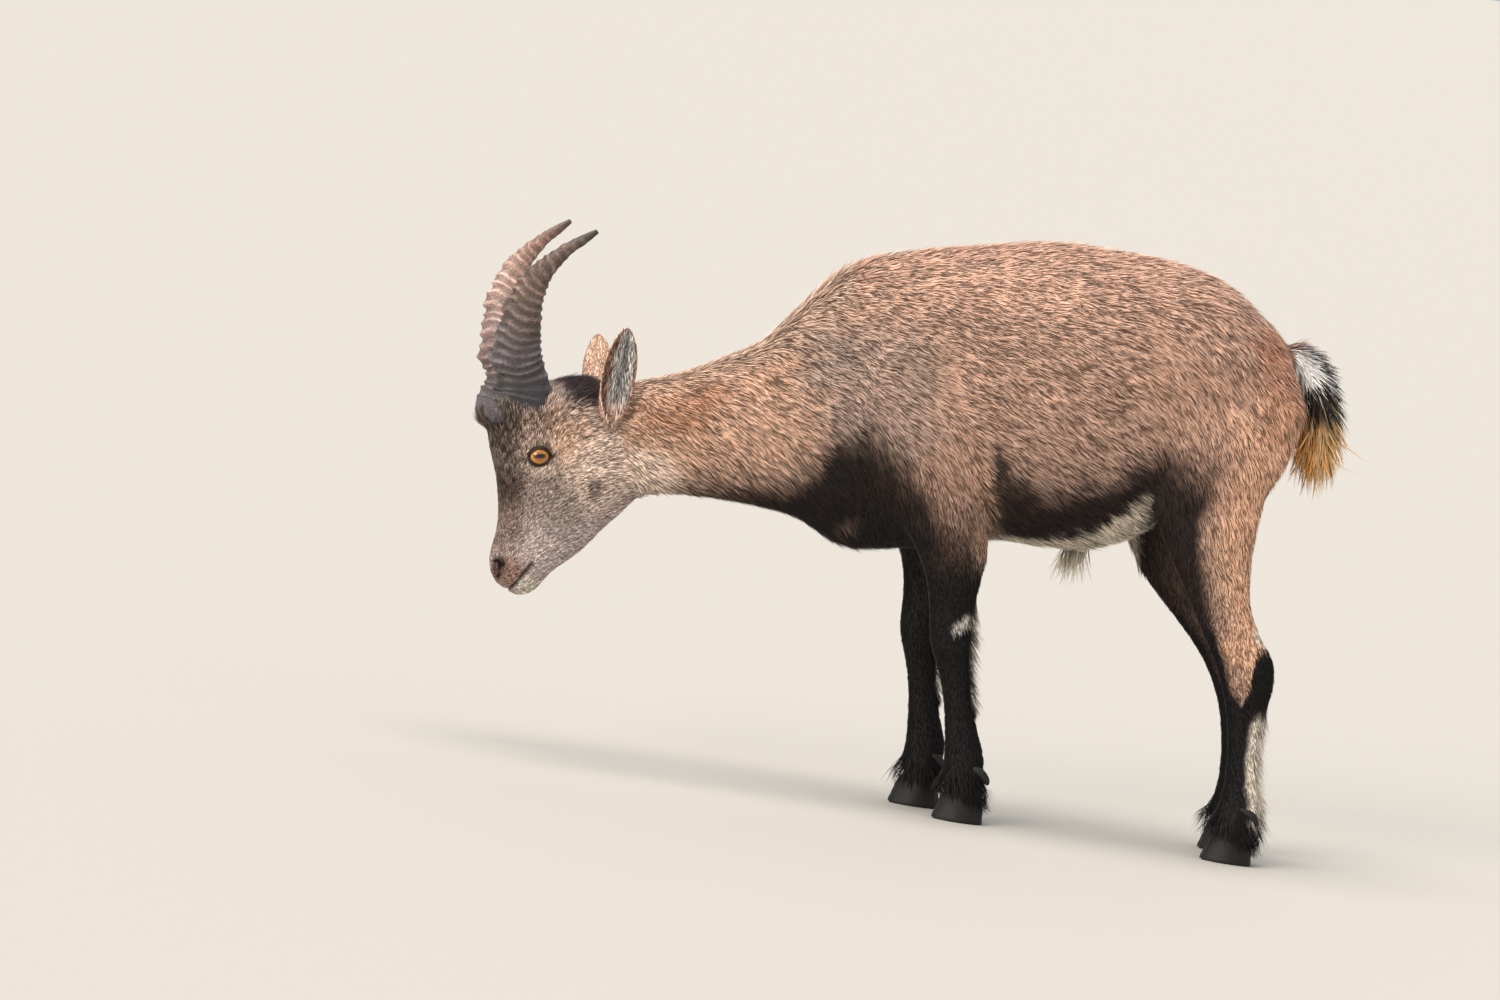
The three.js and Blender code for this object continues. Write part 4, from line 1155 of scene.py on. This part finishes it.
for side, sign in SIDES.items():
    axes = np.array(eye_axes(sign))
    turn = np.linspace(0, 2 * math.pi, LID_AROUND, endpoint=False)
    upper = smooth(np.sin(turn), -0.3, 0.4)
    rings = []
    for grow_by, low_lift, high_lift in LID_ROWS:
        along = EYE_OPENING[0] / 2 * grow_by * np.cos(turn)
        across = EYE_OPENING[1] / 2 * grow_by * np.sin(turn) * np.abs(np.sin(turn)) ** 0.6
        radius = EYE_RADIUS * 1.03 + low_lift + (high_lift - low_lift) * upper
        out = np.sqrt(np.maximum(radius**2 - along**2 - across**2, 9))
        rings.append(in_head(eye_centre(sign) + np.stack([along, across, out], -1) @ axes))
    count = len(rings)
    faces = []
    for row in range(count):
        a, b = row * LID_AROUND, (row + 1) % count * LID_AROUND
        for k in range(LID_AROUND):
            j = (k + 1) % LID_AROUND
            quad = (a + k, a + j, b + j, b + k)
            faces.append(quad if sign > 0 else tuple(reversed(quad)))
    tones = np.repeat([linear(code) for code in LID_COLOURS], LID_AROUND, 0)
    lid_mesh = add_piece(f"lid_{side}", np.vstack(rings), faces, "Skin", tones, bare_skin, "coat")
print("lids of", len(lid_mesh.vertices), "points")

# %% [markdown]
# Hooves. Each foot stands on two claws of dark horn, flat under the sole, with a bevelled edge
# and faint growth lines that run round them. Rock keeps the horn worn and matt. Two small
# dewclaws sit behind the pastern. Their places come from the boxes of the CAD claws, and their
# tops go up under the hair.

# %% Claws and dewclaws
CLAW = {"length": 66, "width": 25, "split": 1.6, "inner": 0.34, "point": 0.42, "lean": 0.3}
CLAW_BEVEL = {"share": 0.95, "height": 2.6}
CLAW_LEVELS = [0, 0.4, 1.2, 2.6, *range(5, 51, 3)]
CLAW_AROUND = 48
CORONET = {"height": 36, "slope": 0.22, "pull": 0.36}
GROWTH_LINES = 1.5
HOOF_COLOUR = "#0c0a0b"
TOE_FRONT = 31.5
DEWCLAW = [
    (4, 13.6, 74, 4.5), (10, 14, 72, 5.5), (16, 14.3, 69.5, 6), (22, 14.6, 66, 6),
    (27.5, 15, 61, 5.2), (31, 15.3, 56.5, 3.8), (32.5, 15.5, 54, 1.8),
]
DEWCLAW_ROWS = 25
DEWCLAW_AROUND = 28

hoof_horn = grained(
    "dark_hoof_horn", "Hoof", ((6, "#b8b4b0"), (1.1, "#8f8b88")), 0.3, 0.5, Roughness=0.6, IOR=1.5
)


def claw_rings(foot_x, foot_y, outer):
    turn = np.linspace(0, 2 * math.pi, CLAW_AROUND, endpoint=False)
    front = np.maximum(np.cos(turn), 0)
    side_part = np.sin(turn) * (1 - CLAW["point"] * front**2)
    inner = CLAW["inner"]
    share = inner + side_part * np.where(side_part < 0, inner, 1 - inner)
    rings = []
    for z in CLAW_LEVELS:
        size = CLAW_BEVEL["share"] + (1 - CLAW_BEVEL["share"]) * math.sqrt(min(z / CLAW_BEVEL["height"], 1))
        half = CLAW["length"] * size / 2 - CLAW["lean"] * z * 2 / 3
        along = CLAW["lean"] * z / 3 - half * np.cos(turn)
        aside = CLAW["split"] + CLAW["width"] * size * share
        over = z - (CORONET["height"] - CORONET["slope"] * along)
        middle = CLAW["split"] + CLAW["width"] * inner
        pull = CORONET["pull"] * smooth(over, -12, 8)
        line = 0.25 * math.sin(z * GROWTH_LINES)
        along = along * (1 - pull) - line * np.cos(turn)
        aside = aside + (middle - aside) * pull
        rings.append(np.stack([foot_x + along, foot_y + outer * aside, np.full(CLAW_AROUND, z)], -1) * MM)
    return rings


def dewclaw_rings(foot_x, foot_y, outer):
    turn = np.linspace(0, 2 * math.pi, DEWCLAW_AROUND, endpoint=False)
    rings = []
    places = np.linspace(0, len(DEWCLAW) - 1, DEWCLAW_ROWS)
    for back, aside, height, radius in between(DEWCLAW, places):
        across = radius * np.cos(turn) * math.sqrt(0.5)
        y = foot_y + outer * (aside + radius * np.sin(turn))
        rings.append(np.stack([foot_x + back + across, y, height + across], -1) * MM)
    return rings


feet = {}
for leg in LEGS:
    sign = SIDES[leg.split("_")[1]]
    boxes = {side: np.array(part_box(f"{leg}_claw_{side}")) / MM for side in ("inner", "outer")}
    foot_x = boxes["outer"][0][0] + TOE_FRONT
    faces_y = [boxes["inner"][0 if sign < 0 else 1][1], boxes["outer"][1 if sign < 0 else 0][1]]
    feet[leg] = (foot_x, sum(faces_y) / 2)
    for side, outer in (("inner", -sign), ("outer", sign)):
        for kind, shape in (("claw", claw_rings), ("dewclaw", dewclaw_rings)):
            points, faces = skin_over(shape(*feet[leg], outer))
            if (outer > 0) == (kind == "claw"):
                faces = [tuple(reversed(face)) for face in faces]
            height = points[:, 2] / MM
            lines = 1 + 0.22 * np.sin(height * GROWTH_LINES) + 0.25 * below(height, 0, 30)
            tones = linear(HOOF_COLOUR) * lines[:, None]
            name = f"{leg}_{kind}_{side}"
            add_piece(f"horn_of_{name}", points, faces, "Hoof", tones, hoof_horn, "hoof", name)
print("feet at", {leg: [round(float(c)) for c in place] for leg, place in feet.items()})

# %% [markdown]
# Hair. Single hairs are far too many, so the coat is built of tufts: thin blades with a raised
# ridge that leave the skin at a low angle, bend over in the middle and taper to a point. All
# tufts of one group are made together as arrays. Their normals are the skin's, fanned out a
# little to both sides, which gives the soft shading of a coat instead of the glitter of loose
# blades. Each tuft has a small patch of the map OFBake, where its colour can be baked.

# %% Tufts as one mesh
RIDGE = 0.3
ROOT_WIDTH = 0.7
ROOT_DEPTH = {"most": 0.8, "share": 0.08}
# How dark the root of a long tuft is painted: a painted shade deep in the coat.
ROOT_PAINTED_SHADE = 0.5
NORMAL_FAN = 0.35
PATCH = 0.003


def blades(name, root, normal, heading, length, width, lift, rows, base, tip, chart):
    """One mesh of tapered blades. lift holds the angle above the skin at root and tip."""
    count = len(root)
    side = unit(np.cross(normal, heading))
    low, high = np.radians(lift[0])[:, None], np.radians(lift[1])[:, None]
    base_at = root - normal * np.minimum(ROOT_DEPTH["most"] * MM, ROOT_DEPTH["share"] * length)[:, None]
    spot_at, spots = base_at, []
    for row in range(rows + 1):
        part = (row + 0.5) / (rows + 1)
        angle = low + (high - low) * part
        step = heading * np.cos(angle) + normal * np.sin(angle)
        spot_at = spot_at + step * (length / (rows + 1))[:, None]
        spots.append(spot_at)
    half = (width / 2)[:, None]
    columns = [base_at - side * half * ROOT_WIDTH, base_at + side * half * ROOT_WIDTH]
    along = [0.0, 0.0]
    for row in range(rows):
        part = (row + 1) / (rows + 1)
        wide = half * (1 if part <= 0.5 else 1.5 * (1 - part) + 0.25)
        raised = normal * (width * RIDGE)[:, None]
        columns += [spots[row] - side * wide, spots[row] + raised, spots[row] + side * wide]
        along += [part] * 3
    columns.append(spots[-1])
    along.append(1.0)
    per = len(columns)
    points = np.stack(columns, 1).reshape(-1, 3)
    faces = [(3, 1, 0), (2, 3, 0), (3, 4, 1)]
    for row in range(rows - 1):
        a = 2 + 3 * row
        faces += [(a + 3, a + 1, a), (a + 3, a + 4, a + 1), (a + 4, a + 2, a + 1), (a + 4, a + 5, a + 2)]
    a = 2 + 3 * (rows - 1)
    faces += [(a + 3, a + 1, a), (a + 3, a + 2, a + 1)]
    corners = (np.arange(count)[:, None, None] * per + np.array(faces)[None]).reshape(-1, 3)

    mesh = bpy.data.meshes.new(name)
    mesh.vertices.add(len(points))
    mesh.vertices.foreach_set("co", points.astype(np.float32).ravel())
    mesh.loops.add(corners.size)
    mesh.loops.foreach_set("vertex_index", corners.astype(np.int32).ravel())
    mesh.polygons.add(len(corners))
    mesh.polygons.foreach_set("loop_start", np.arange(0, corners.size, 3, dtype=np.int32))
    mesh.update(calc_edges=True)

    along = np.array(along)
    ends = along[None, :, None]
    tint = base[:, None, :] + (tip - base)[:, None, :] * smooth(ends, 0.35, 1.0)
    # Each tuft is painted darker towards its root, more on longer tufts: painted shade deep in the coat.
    root_shade = (1 - (1 - ROOT_PAINTED_SHADE) * smooth(length / MM, 2, 12))[:, None, None]
    tint = tint * (root_shade + (1 - root_shade) * smooth(ends, 0.0, 0.5))
    set_colours(mesh, "Coat", tint.reshape(-1, 3))

    across = np.array([-0.5, 0.5] + [-0.5, 0.0, 0.5] * rows + [0.0])
    patch = np.stack([across, along - 0.5], -1)[None] * PATCH
    places = (chart[:, None, :] + patch).reshape(-1, 2)
    layer = mesh.uv_layers.new(name="OFBake")
    layer.data.foreach_set("uv", places[corners.ravel()].astype(np.float32).ravel())

    lean = np.concatenate([normal - side * NORMAL_FAN, normal + side * NORMAL_FAN], -1).reshape(count, 2, 3)
    fans = [lean[:, 0], lean[:, 1]] + [lean[:, 0], normal, lean[:, 1]] * rows + [normal]
    mesh.normals_split_custom_set_from_vertices(unit(np.stack(fans, 1).reshape(-1, 3)).tolist())
    return mesh


# %% [markdown]
# Roots are drawn at random over the skin's triangles, with a fixed seed, and stand closer where
# the hair is fine. Each root takes its place, normal, part and body measures from its triangle.

# %% Roots on the skin
skin_mesh.calc_loop_triangles()
corner_ids = np.empty(len(skin_mesh.loop_triangles) * 3, np.int32)
skin_mesh.loop_triangles.foreach_get("vertices", corner_ids)
corner_ids = corner_ids.reshape(-1, 3)
skin_normals = normals_of(skin_all, corner_ids)
edge_one = skin_all[corner_ids[:, 1]] - skin_all[corner_ids[:, 0]]
edge_two = skin_all[corner_ids[:, 2]] - skin_all[corner_ids[:, 0]]
areas = np.linalg.norm(np.cross(edge_one, edge_two), axis=1) / 2 / MM**2 / 100
zones = zone[corner_ids[:, 0]]
for i, name in enumerate(ZONES):
    print(name, round(float(areas[zones == i].sum())), "square cm")

ROOTS_PER_CM2 = {"trunk": 24, "leg": 18, "head": 48, "dock": 56, "sheath": 44, "ear": 34}
SHARE_OF_ROOTS = 1.0


def draw_roots(chosen, per_cm2, seed):
    draw = np.random.default_rng(seed)
    ids = np.flatnonzero(chosen)
    weights = areas[ids] * per_cm2
    count = int(weights.sum() * SHARE_OF_ROOTS)
    picked = ids[draw.choice(len(ids), count, p=weights / weights.sum())]
    first, second = draw.random(count), draw.random(count)
    over = first + second > 1
    first[over], second[over] = 1 - first[over], 1 - second[over]
    weight = np.stack([1 - first - second, first, second], -1)
    corners = corner_ids[picked]

    def taken(values):
        return np.einsum("nk,nk...->n...", weight, values[corners])

    roots = {
        "at": taken(skin_all),
        "normal": unit(taken(skin_normals)),
        "drawn": taken(drawn),
        "face": taken(face_at),
        "inside": taken(ear_inside),
        "height": taken(ear_share),
        "across": taken(ear_across),
        "zone": zones[picked],
        "parts": {part: taken(values) for part, values in share.items()},
        "draw": draw,
        "count": count,
    }
    measures = ("drawn", "face", "at", "parts", "inside", "height", "across")
    roots["colour"] = painted(*(roots[name] for name in measures))
    return roots


def kept(roots, keep):
    """Only the roots that are wanted."""
    chosen = {}
    for name, value in roots.items():
        if isinstance(value, np.ndarray):
            chosen[name] = value[keep]
        elif isinstance(value, dict):
            chosen[name] = {part: values[keep] for part, values in value.items()}
        else:
            chosen[name] = value
    chosen["count"] = int(keep.sum())
    return chosen


# %% [markdown]
# The lie of the coat. On an ibex the hair runs from the nose over the forehead and the cheeks
# to the neck, back and down along the flank, and straight down the legs. The direction is set
# in the body's own measures and pressed flat onto the skin at each root. It wanders a little
# from place to place and from tuft to tuft.

# %% Lie of the coat
NOSE = np.array([-634, 0, 300])
WANDER = {"size": 45, "broad": 0.16, "single": 0.10}


def body_direction(vectors):
    x, z = turned(vectors[:, 0], vectors[:, 2], PITCH)
    return unit(np.stack([x, vectors[:, 1], z], -1))


def lie(roots):
    u, y, v = roots["drawn"].T
    parts = roots["parts"]
    legs = sum(parts[leg] for leg in LEGS)
    legs = smooth(legs, 0.3, 0.8) * below(v, 360, 560)
    side = np.clip((v - 360) / 360, 0, 1)
    trunk = np.stack([np.ones(len(u)), np.zeros(len(u)), -0.9 + 0.6 * side], -1)
    trunk[:, 2] -= 1.5 * smooth(u, 170, 400) * below(v, 610, 690)
    trunk[:, 2] -= 0.9 * below(u, -120, 0) * below(v, 380, 520) * (1 - parts["neck"])
    down = np.stack([np.full(len(u), 0.22), np.zeros(len(u)), np.full(len(u), -1.0)], -1)
    flow = unit(trunk) * (1 - legs)[:, None] + unit(down) * legs[:, None]
    radial = unit(roots["face"] - NOSE)
    back = smooth(roots["face"][:, 0], -590, -480)
    radial = unit(radial * (1 - 0.7 * back)[:, None] + np.array([0.8, 0, -0.15]) * back[:, None])
    flow = flow + (radial - flow) * smooth(parts["head"], 0.2, 0.8)[:, None]
    ear = parts["ear"]
    sign = np.sign(y)
    tip = np.stack([np.full(len(u), 0.12), sign * 0.3, np.full(len(u), 1.0)], -1)
    flow = np.where(ear[:, None] > 0.5, tip, flow)
    world = body_direction(flow)
    swirl = np.stack([ripple(roots["at"] / MM, WANDER["size"], k) for k in (21, 22, 23)], -1)
    world += WANDER["broad"] * body_direction(swirl)
    world += WANDER["single"] * roots["draw"].normal(size=world.shape)
    normal = roots["normal"]
    return unit(world - normal * (world * normal).sum(1)[:, None])


# %% [markdown]
# Each root also gets a place on a chart of the skin, for the baking of its colour: the trunk
# and the head are rolled out round their own axis, and each leg and ear round its own length.

# %% Charts of the skin
SPINE = [(-606, 280), (-585, 400), (-560, 470), (-440, 480), (-300, 490), (-150, 520), (100, 530), (440, 560)]
LEG_AXES = {"fore": [(-9, 0), (-9, 150), (-28, 240), (-40, 360), (-90, 560)], "hind": HAUNCH_LINE}
LEG_ASIDE = 66
CHART_EDGE = 0.01


def axis_place(u, v, line):
    """Place along an axis line and the offset from it, upwards."""
    best, place, offset = np.full(len(u), 1e9), np.zeros(len(u)), np.zeros(len(u))
    run = 0.0
    for (u1, v1), (u2, v2) in zip(line, line[1:]):
        du, dv = u2 - u1, v2 - v1
        length = math.hypot(du, dv)
        part = np.clip(((u - u1) * du + (v - v1) * dv) / length**2, 0, 1)
        away_u, away_v = u - u1 - part * du, v - v1 - part * dv
        near_this = np.hypot(away_u, away_v) < best
        best = np.where(near_this, np.hypot(away_u, away_v), best)
        place = np.where(near_this, run + part * length, place)
        offset = np.where(near_this, (du * away_v - dv * away_u) / length, offset)
        run += length
    return place, offset


def chart_of(roots):
    u, y, v = roots["drawn"].T
    along, offset = axis_place(u, v, SPINE)
    turn = np.arctan2(y, offset) / (2 * math.pi) + 0.5
    place = np.stack([along, turn], -1)
    for leg in LEGS:
        mine = roots["zone"] == ZONES.index(leg)
        middle = edge_at(sorted(LEG_AXES[leg[:4]], key=lambda point: point[1]), v[mine])
        aside = np.abs(y[mine]) - LEG_ASIDE
        turn = np.arctan2(aside, u[mine] - middle) / (2 * math.pi) + 0.5
        place[mine] = np.stack([v[mine], turn + (1.1 if leg.endswith("right") else 0)], -1)
    ear = roots["zone"] == ZONES.index("ear")
    across = roots["face"][ear][:, 0] / 60 + 1.2 * roots["inside"][ear] + 2.6 * (y[ear] > 0)
    place[ear] = np.stack([roots["height"][ear], across], -1)
    return place


def spread_out(place):
    """The chart stretched over the whole map, with a narrow edge left free."""
    low, high = place.min(0), place.max(0)
    return CHART_EDGE + (1 - 2 * CHART_EDGE) * (place - low) / np.maximum(high - low, 1e-6)


# %% [markdown]
# The hair's finish. Guard hair is keratin, with a faint sheen along its length, so the tufts
# are a little less rough than the underfur. Every tuft has its own shade, and many have pale or
# dark tips, most on the head and the trunk, which makes the grizzled look of the summer coat.
# Neighbours share part of it, in locks that are longer along the lie of the hair than across.

# %% Guard hair
guard_hair, tree = material("guard_hair")
colour = add(tree, "ShaderNodeAttribute", {"attribute_name": "Coat"}).outputs["Color"]
shader = {"Roughness": 0.62, "Specular_IOR_Level": 0.25, "Sheen_Weight": 0.05, "Sheen_Roughness": 0.4}
finish(tree, add(tree, "ShaderNodeBsdfPrincipled", Base_Color=colour, **shader))
MOST_TRIANGLES = 190000
PALE_TIP = "#fff2ea"
coat_triangles = {}


def grizzled(roots, heading, amount, lock, stretch):
    """Colour of each tuft and of its tip."""
    lies = unit(heading.mean(0))
    at = roots["at"] / MM
    at = at - stretch * (at @ lies)[:, None] * lies
    draw = roots["draw"]
    count = roots["count"]
    locks = ripple(at, lock, 17) + 0.35 * ripple(at, 2.4 * lock, 18)
    shade = np.clip(1 + draw.normal(0, 0.2, count) + 0.15 * amount * locks, 0.4, 1.8)[:, None]
    base = roots["colour"] * shade
    bright = smooth(roots["colour"].mean(1), 0.03, 0.2)
    kind = draw.random(count) - 0.1 * amount * locks
    light = (kind < 0.34 * amount)[:, None]
    dark = (kind > 1 - 0.32 * amount)[:, None]
    pale = base * 1.15 + 0.3 * linear(PALE_TIP) * bright[:, None]
    tip = np.where(light, pale, np.where(dark, base * 0.2, base * 1.1))
    base = np.where(dark, base * 0.45, base)
    return base, tip


def grow(name, roots, length, width, lift, heading=None, rows=1, amount=1.0, lock=(4.4, 0.75),
         slot="coat", stands_for=()):
    """Tufts on the roots, split into pieces along the chart so that none grows too large."""
    heading = lie(roots) if heading is None else heading
    base, tip = grizzled(roots, heading, amount, *lock)
    tip = roots.get("tip", tip)
    chart = chart_of(roots)
    per_tuft = 5 + 4 * (rows - 1)
    parts = math.ceil(roots["count"] * per_tuft / MOST_TRIANGLES)
    for k, ids in enumerate(np.array_split(np.argsort(chart[:, 0]), parts)):
        title = f"{name}_{k + 1}" if parts > 1 else name
        mesh = blades(
            title, roots["at"][ids], roots["normal"][ids], heading[ids], length[ids] * MM, width[ids] * MM,
            (lift[0][ids], lift[1][ids]), rows, base[ids], tip[ids], spread_out(chart[ids]),
        )
        hand_over(piece(title, mesh, guard_hair), slot, *stands_for)
        coat_triangles[title] = len(mesh.polygons)
        print(title, len(ids), "tufts", coat_triangles[title], "triangles")


def varied(roots, value, spread=0.2):
    """The value for each root, a little more or less."""
    return value * np.clip(1 + roots["draw"].normal(0, spread, roots["count"]), 0.5, 1.6)


# %% [markdown]
# The trunk has the longest and most grizzled hair, with a low crest on the neck, and grows
# shorter towards the head. Lengths are in millimetres, the widths of all tufts stand here
# together, and the lift is the tuft's angle above the skin at its root and at its tip.

# %% Coat of trunk and neck
TUFT_WIDTH = {"trunk": 1.05, "leg": 1.2, "head": 0.9, "ear": 0.9, "funnel": 1.1, "dock": 1.8, "sheath": 1.1}

for side, sign in SIDES.items():
    trunk_zone = np.isin(zones, [ZONES.index("torso"), ZONES.index("neck")])
    on_side = trunk_zone & (sign * drawn[corner_ids[:, 0], 1] >= 0)
    roots = draw_roots(on_side, ROOTS_PER_CM2["trunk"], 31 + sign)
    u, y, v = roots["drawn"].T
    crest = roots["parts"]["neck"] * smooth(v, 560, 640)
    length = 16 + 5 * below(v, 380, 520) + 7 * crest + 5 * (np.abs(y) < 14) * (v > 600)
    length = length * (0.5 + 0.5 * smooth(u, -475, -370))
    lift = (varied(roots, 21.0), varied(roots, 7.0, 0.5))
    length, width = varied(roots, length), varied(roots, TUFT_WIDTH["trunk"])
    grow(f"coat_trunk_{side}", roots, length, width, lift, amount=1.3)

# %% [markdown]
# The legs have short close hair, a fringe down the rear edge, and longer hair that hangs over
# the tops of the claws.

# %% Coat of the legs
for end in ("foreleg", "hindleg"):
    both = [ZONES.index(f"{end}_{side}") for side in SIDES]
    roots = draw_roots(np.isin(zones, both), ROOTS_PER_CM2["leg"], 41 + len(end) + (end == "hindleg"))
    u, y, v = roots["drawn"].T
    height = roots["at"][:, 2] / MM
    coronet = below(height, 50, 80)
    length = 8.5 + 8 * smooth(height, 260, 460) + 20 * coronet
    rear_line, low, high = (FORE_REAR, 140, 275) if end == "foreleg" else (HIND_REAR, -60, 100)
    rear = edge_at(rear_line, v)
    fringe = smooth(u, rear - 14, rear - 4) * window(v, low, high, 14)
    length = length + 15 * fringe
    lift = (varied(roots, 15 + 26 * fringe + 34 * coronet), varied(roots, 5 + 26 * fringe + 12 * coronet))
    width = varied(roots, TUFT_WIDTH["leg"])
    grow(f"coat_{end}s", roots, varied(roots, length), width, lift, amount=0.75)

# %% [markdown]
# The face has the shortest and finest hair, which leaves the nostrils and the lids free. It
# grows longer on the poll, the forelock and towards the neck.

# %% Coat of the head
roots = draw_roots(zones == ZONES.index("head"), ROOTS_PER_CM2["head"], 51)
face_u, face_y, face_v = roots["face"].T
open_nostril = spot(face_u, face_v, **NOSTRIL) > 0.4
roots = kept(roots, (almond(roots["face"], 3.0) < 0.5) & ~(open_nostril & (np.abs(face_y) > 4)))
u, y, v = roots["face"].T
front = u - edge_at(FRONT_LINE, v)
top = smooth(v, 500, 545)
forelock = spot(u, v, (-628, 505), (24, 22))
length = 4.0 + 2.2 * smooth(v, 330, 460) + 9 * top + 9 * forelock + 5 * smooth(u, -545, -460)
lift = (varied(roots, 20 + 10 * top + 10 * forelock), varied(roots, 7 + 6 * top + 6 * forelock))
length, width = varied(roots, length), varied(roots, TUFT_WIDTH["head"])
grow("coat_head", roots, length, width, lift, amount=1.7, lock=(3.2, 0.4))

# %% [markdown]
# Inside the ears longer pale hair stands up from the middle, and the backs are covered closely.

# %% Coat of the ears
roots = draw_roots(zones == ZONES.index("ear"), ROOTS_PER_CM2["ear"], 61)
inner = roots["inside"] > 0.5
middle = (1 - roots["across"] ** 2) * (1 - 0.8 * smooth(roots["height"], 0.55, 1.0))
length = np.where(inner, 5 + 13 * middle, 6.5 - 2.5 * roots["height"])
length = length * (1 - 0.5 * smooth(roots["height"], 0.82, 0.97))
root_lift, tip_lift = np.where(inner, 10 + 22 * middle, 10.0), np.where(inner, 4 + 9 * middle, 3.0)
lift = (varied(roots, root_lift), varied(roots, tip_lift))
length = varied(roots, length)
width = varied(roots, np.where(inner, TUFT_WIDTH["funnel"], TUFT_WIDTH["ear"]))
grow("coat_ears", roots, length, width, lift, amount=1.1)

# %% [markdown]
# The tail is a short bone with a brush of long hair all round. Tufts leave the bone outwards
# and bend down, the lower ones more. Their colour runs from rust and white at the rump through
# black to golden strands with cream tips.

# %% Tail brush
TAIL = {"white": "#ffffff", "rust": "#a4673f", "black": "#191214", "gold": "#e8a352", "cream": "#fae6b8"}
TAIL_COLOUR = {name: linear(code) for name, code in TAIL.items()}
DOCK_AXIS = [(380, 594), (404, 586), (424, 577), (438, 559), (445, 532), (447, 503), (447, 475), (447, 455)]
DOCK_LENGTH = 190

roots = draw_roots(zones == ZONES.index("dock"), ROOTS_PER_CM2["dock"], 71)
u, y, v = roots["drawn"].T
along, offset = axis_place(u, v, DOCK_AXIS)
down = np.clip(along / DOCK_LENGTH, 0, 1)
under = below(offset, -1, 8)
length = np.interp(down, [0, 0.2, 0.45, 0.7, 1], [18, 28, 44, 64, 64])
length = length * (1 - 0.3 * under * below(down, 0.25, 0.4))
backwards = 0.6 - 0.75 * smooth(down, 0.3, 0.8)
heading = body_direction(np.stack([backwards, np.zeros(len(u)), -0.35 - 1.4 * down], -1))
heading = unit(heading + 0.24 * roots["draw"].normal(size=heading.shape))
heading = unit(heading - roots["normal"] * (heading * roots["normal"]).sum(1)[:, None])
lift = (varied(roots, 54 - 24 * down), varied(roots, 26 - 22 * down, 0.5))
colour = np.tile(TAIL_COLOUR["black"], (len(u), 1))
place = down + ripple(roots["at"] / MM, 18, 9) * 0.05 + roots["draw"].normal(0, 0.04, len(u))
for name, mask in (
    ("rust", below(place, 0.14, 0.26)),
    ("white", window(place, 0.02, 0.38, 0.04) * below(offset, 1, 10)),
    ("gold", smooth(place, 0.52, 0.64) * (0.35 + 0.65 * smooth(roots["draw"].random(len(u)), 0.15, 0.5))),
):
    colour = colour + (TAIL_COLOUR[name] - colour) * mask[:, None]
roots["colour"] = colour
ends_pale = smooth(place, 0.45, 0.6) * (roots["draw"].random(len(u)) < 0.6)
roots["tip"] = colour * 1.1 + (TAIL_COLOUR["cream"] - colour) * (0.85 * ends_pale)[:, None]
length, width = varied(roots, length, 0.14), varied(roots, TUFT_WIDTH["dock"])
grow(
    "tail_brush", roots, length, width, lift, heading,
    rows=3, amount=0.35, slot="tail_hair", stands_for=("tail",),
)

# %% [markdown]
# A tuft of long pale hair hangs from the end of the sheath, loose and a little forwards.

# %% Sheath tuft
roots = draw_roots(zones == ZONES.index("sheath"), ROOTS_PER_CM2["sheath"], 81)
roots = kept(roots, roots["normal"][:, 2] < -0.1)
heading = body_direction(np.tile([-0.5, 0.0, -1.0], (roots["count"], 1)))
heading = unit(heading + 0.35 * roots["draw"].normal(size=heading.shape))
length = 12 + 18 * smooth(-roots["normal"][:, 2], 0.3, 1.0)
lift = (varied(roots, 40, 0.3), varied(roots, 20, 0.5))
# The hair is painted a third lighter than its marking, painted light that makes up for the shade under the
# belly.
roots["colour"] = np.clip(1.3 * roots["colour"], 0, 1)
length, width = varied(roots, length, 0.3), varied(roots, TUFT_WIDTH["sheath"])
grow(
    "sheath_hair", roots, length, width, lift, heading,
    rows=3, amount=0.2, slot="pale_hair", stands_for=("sheath_tuft",),
)
print("coat", sum(coat_triangles.values()), "triangles in all")
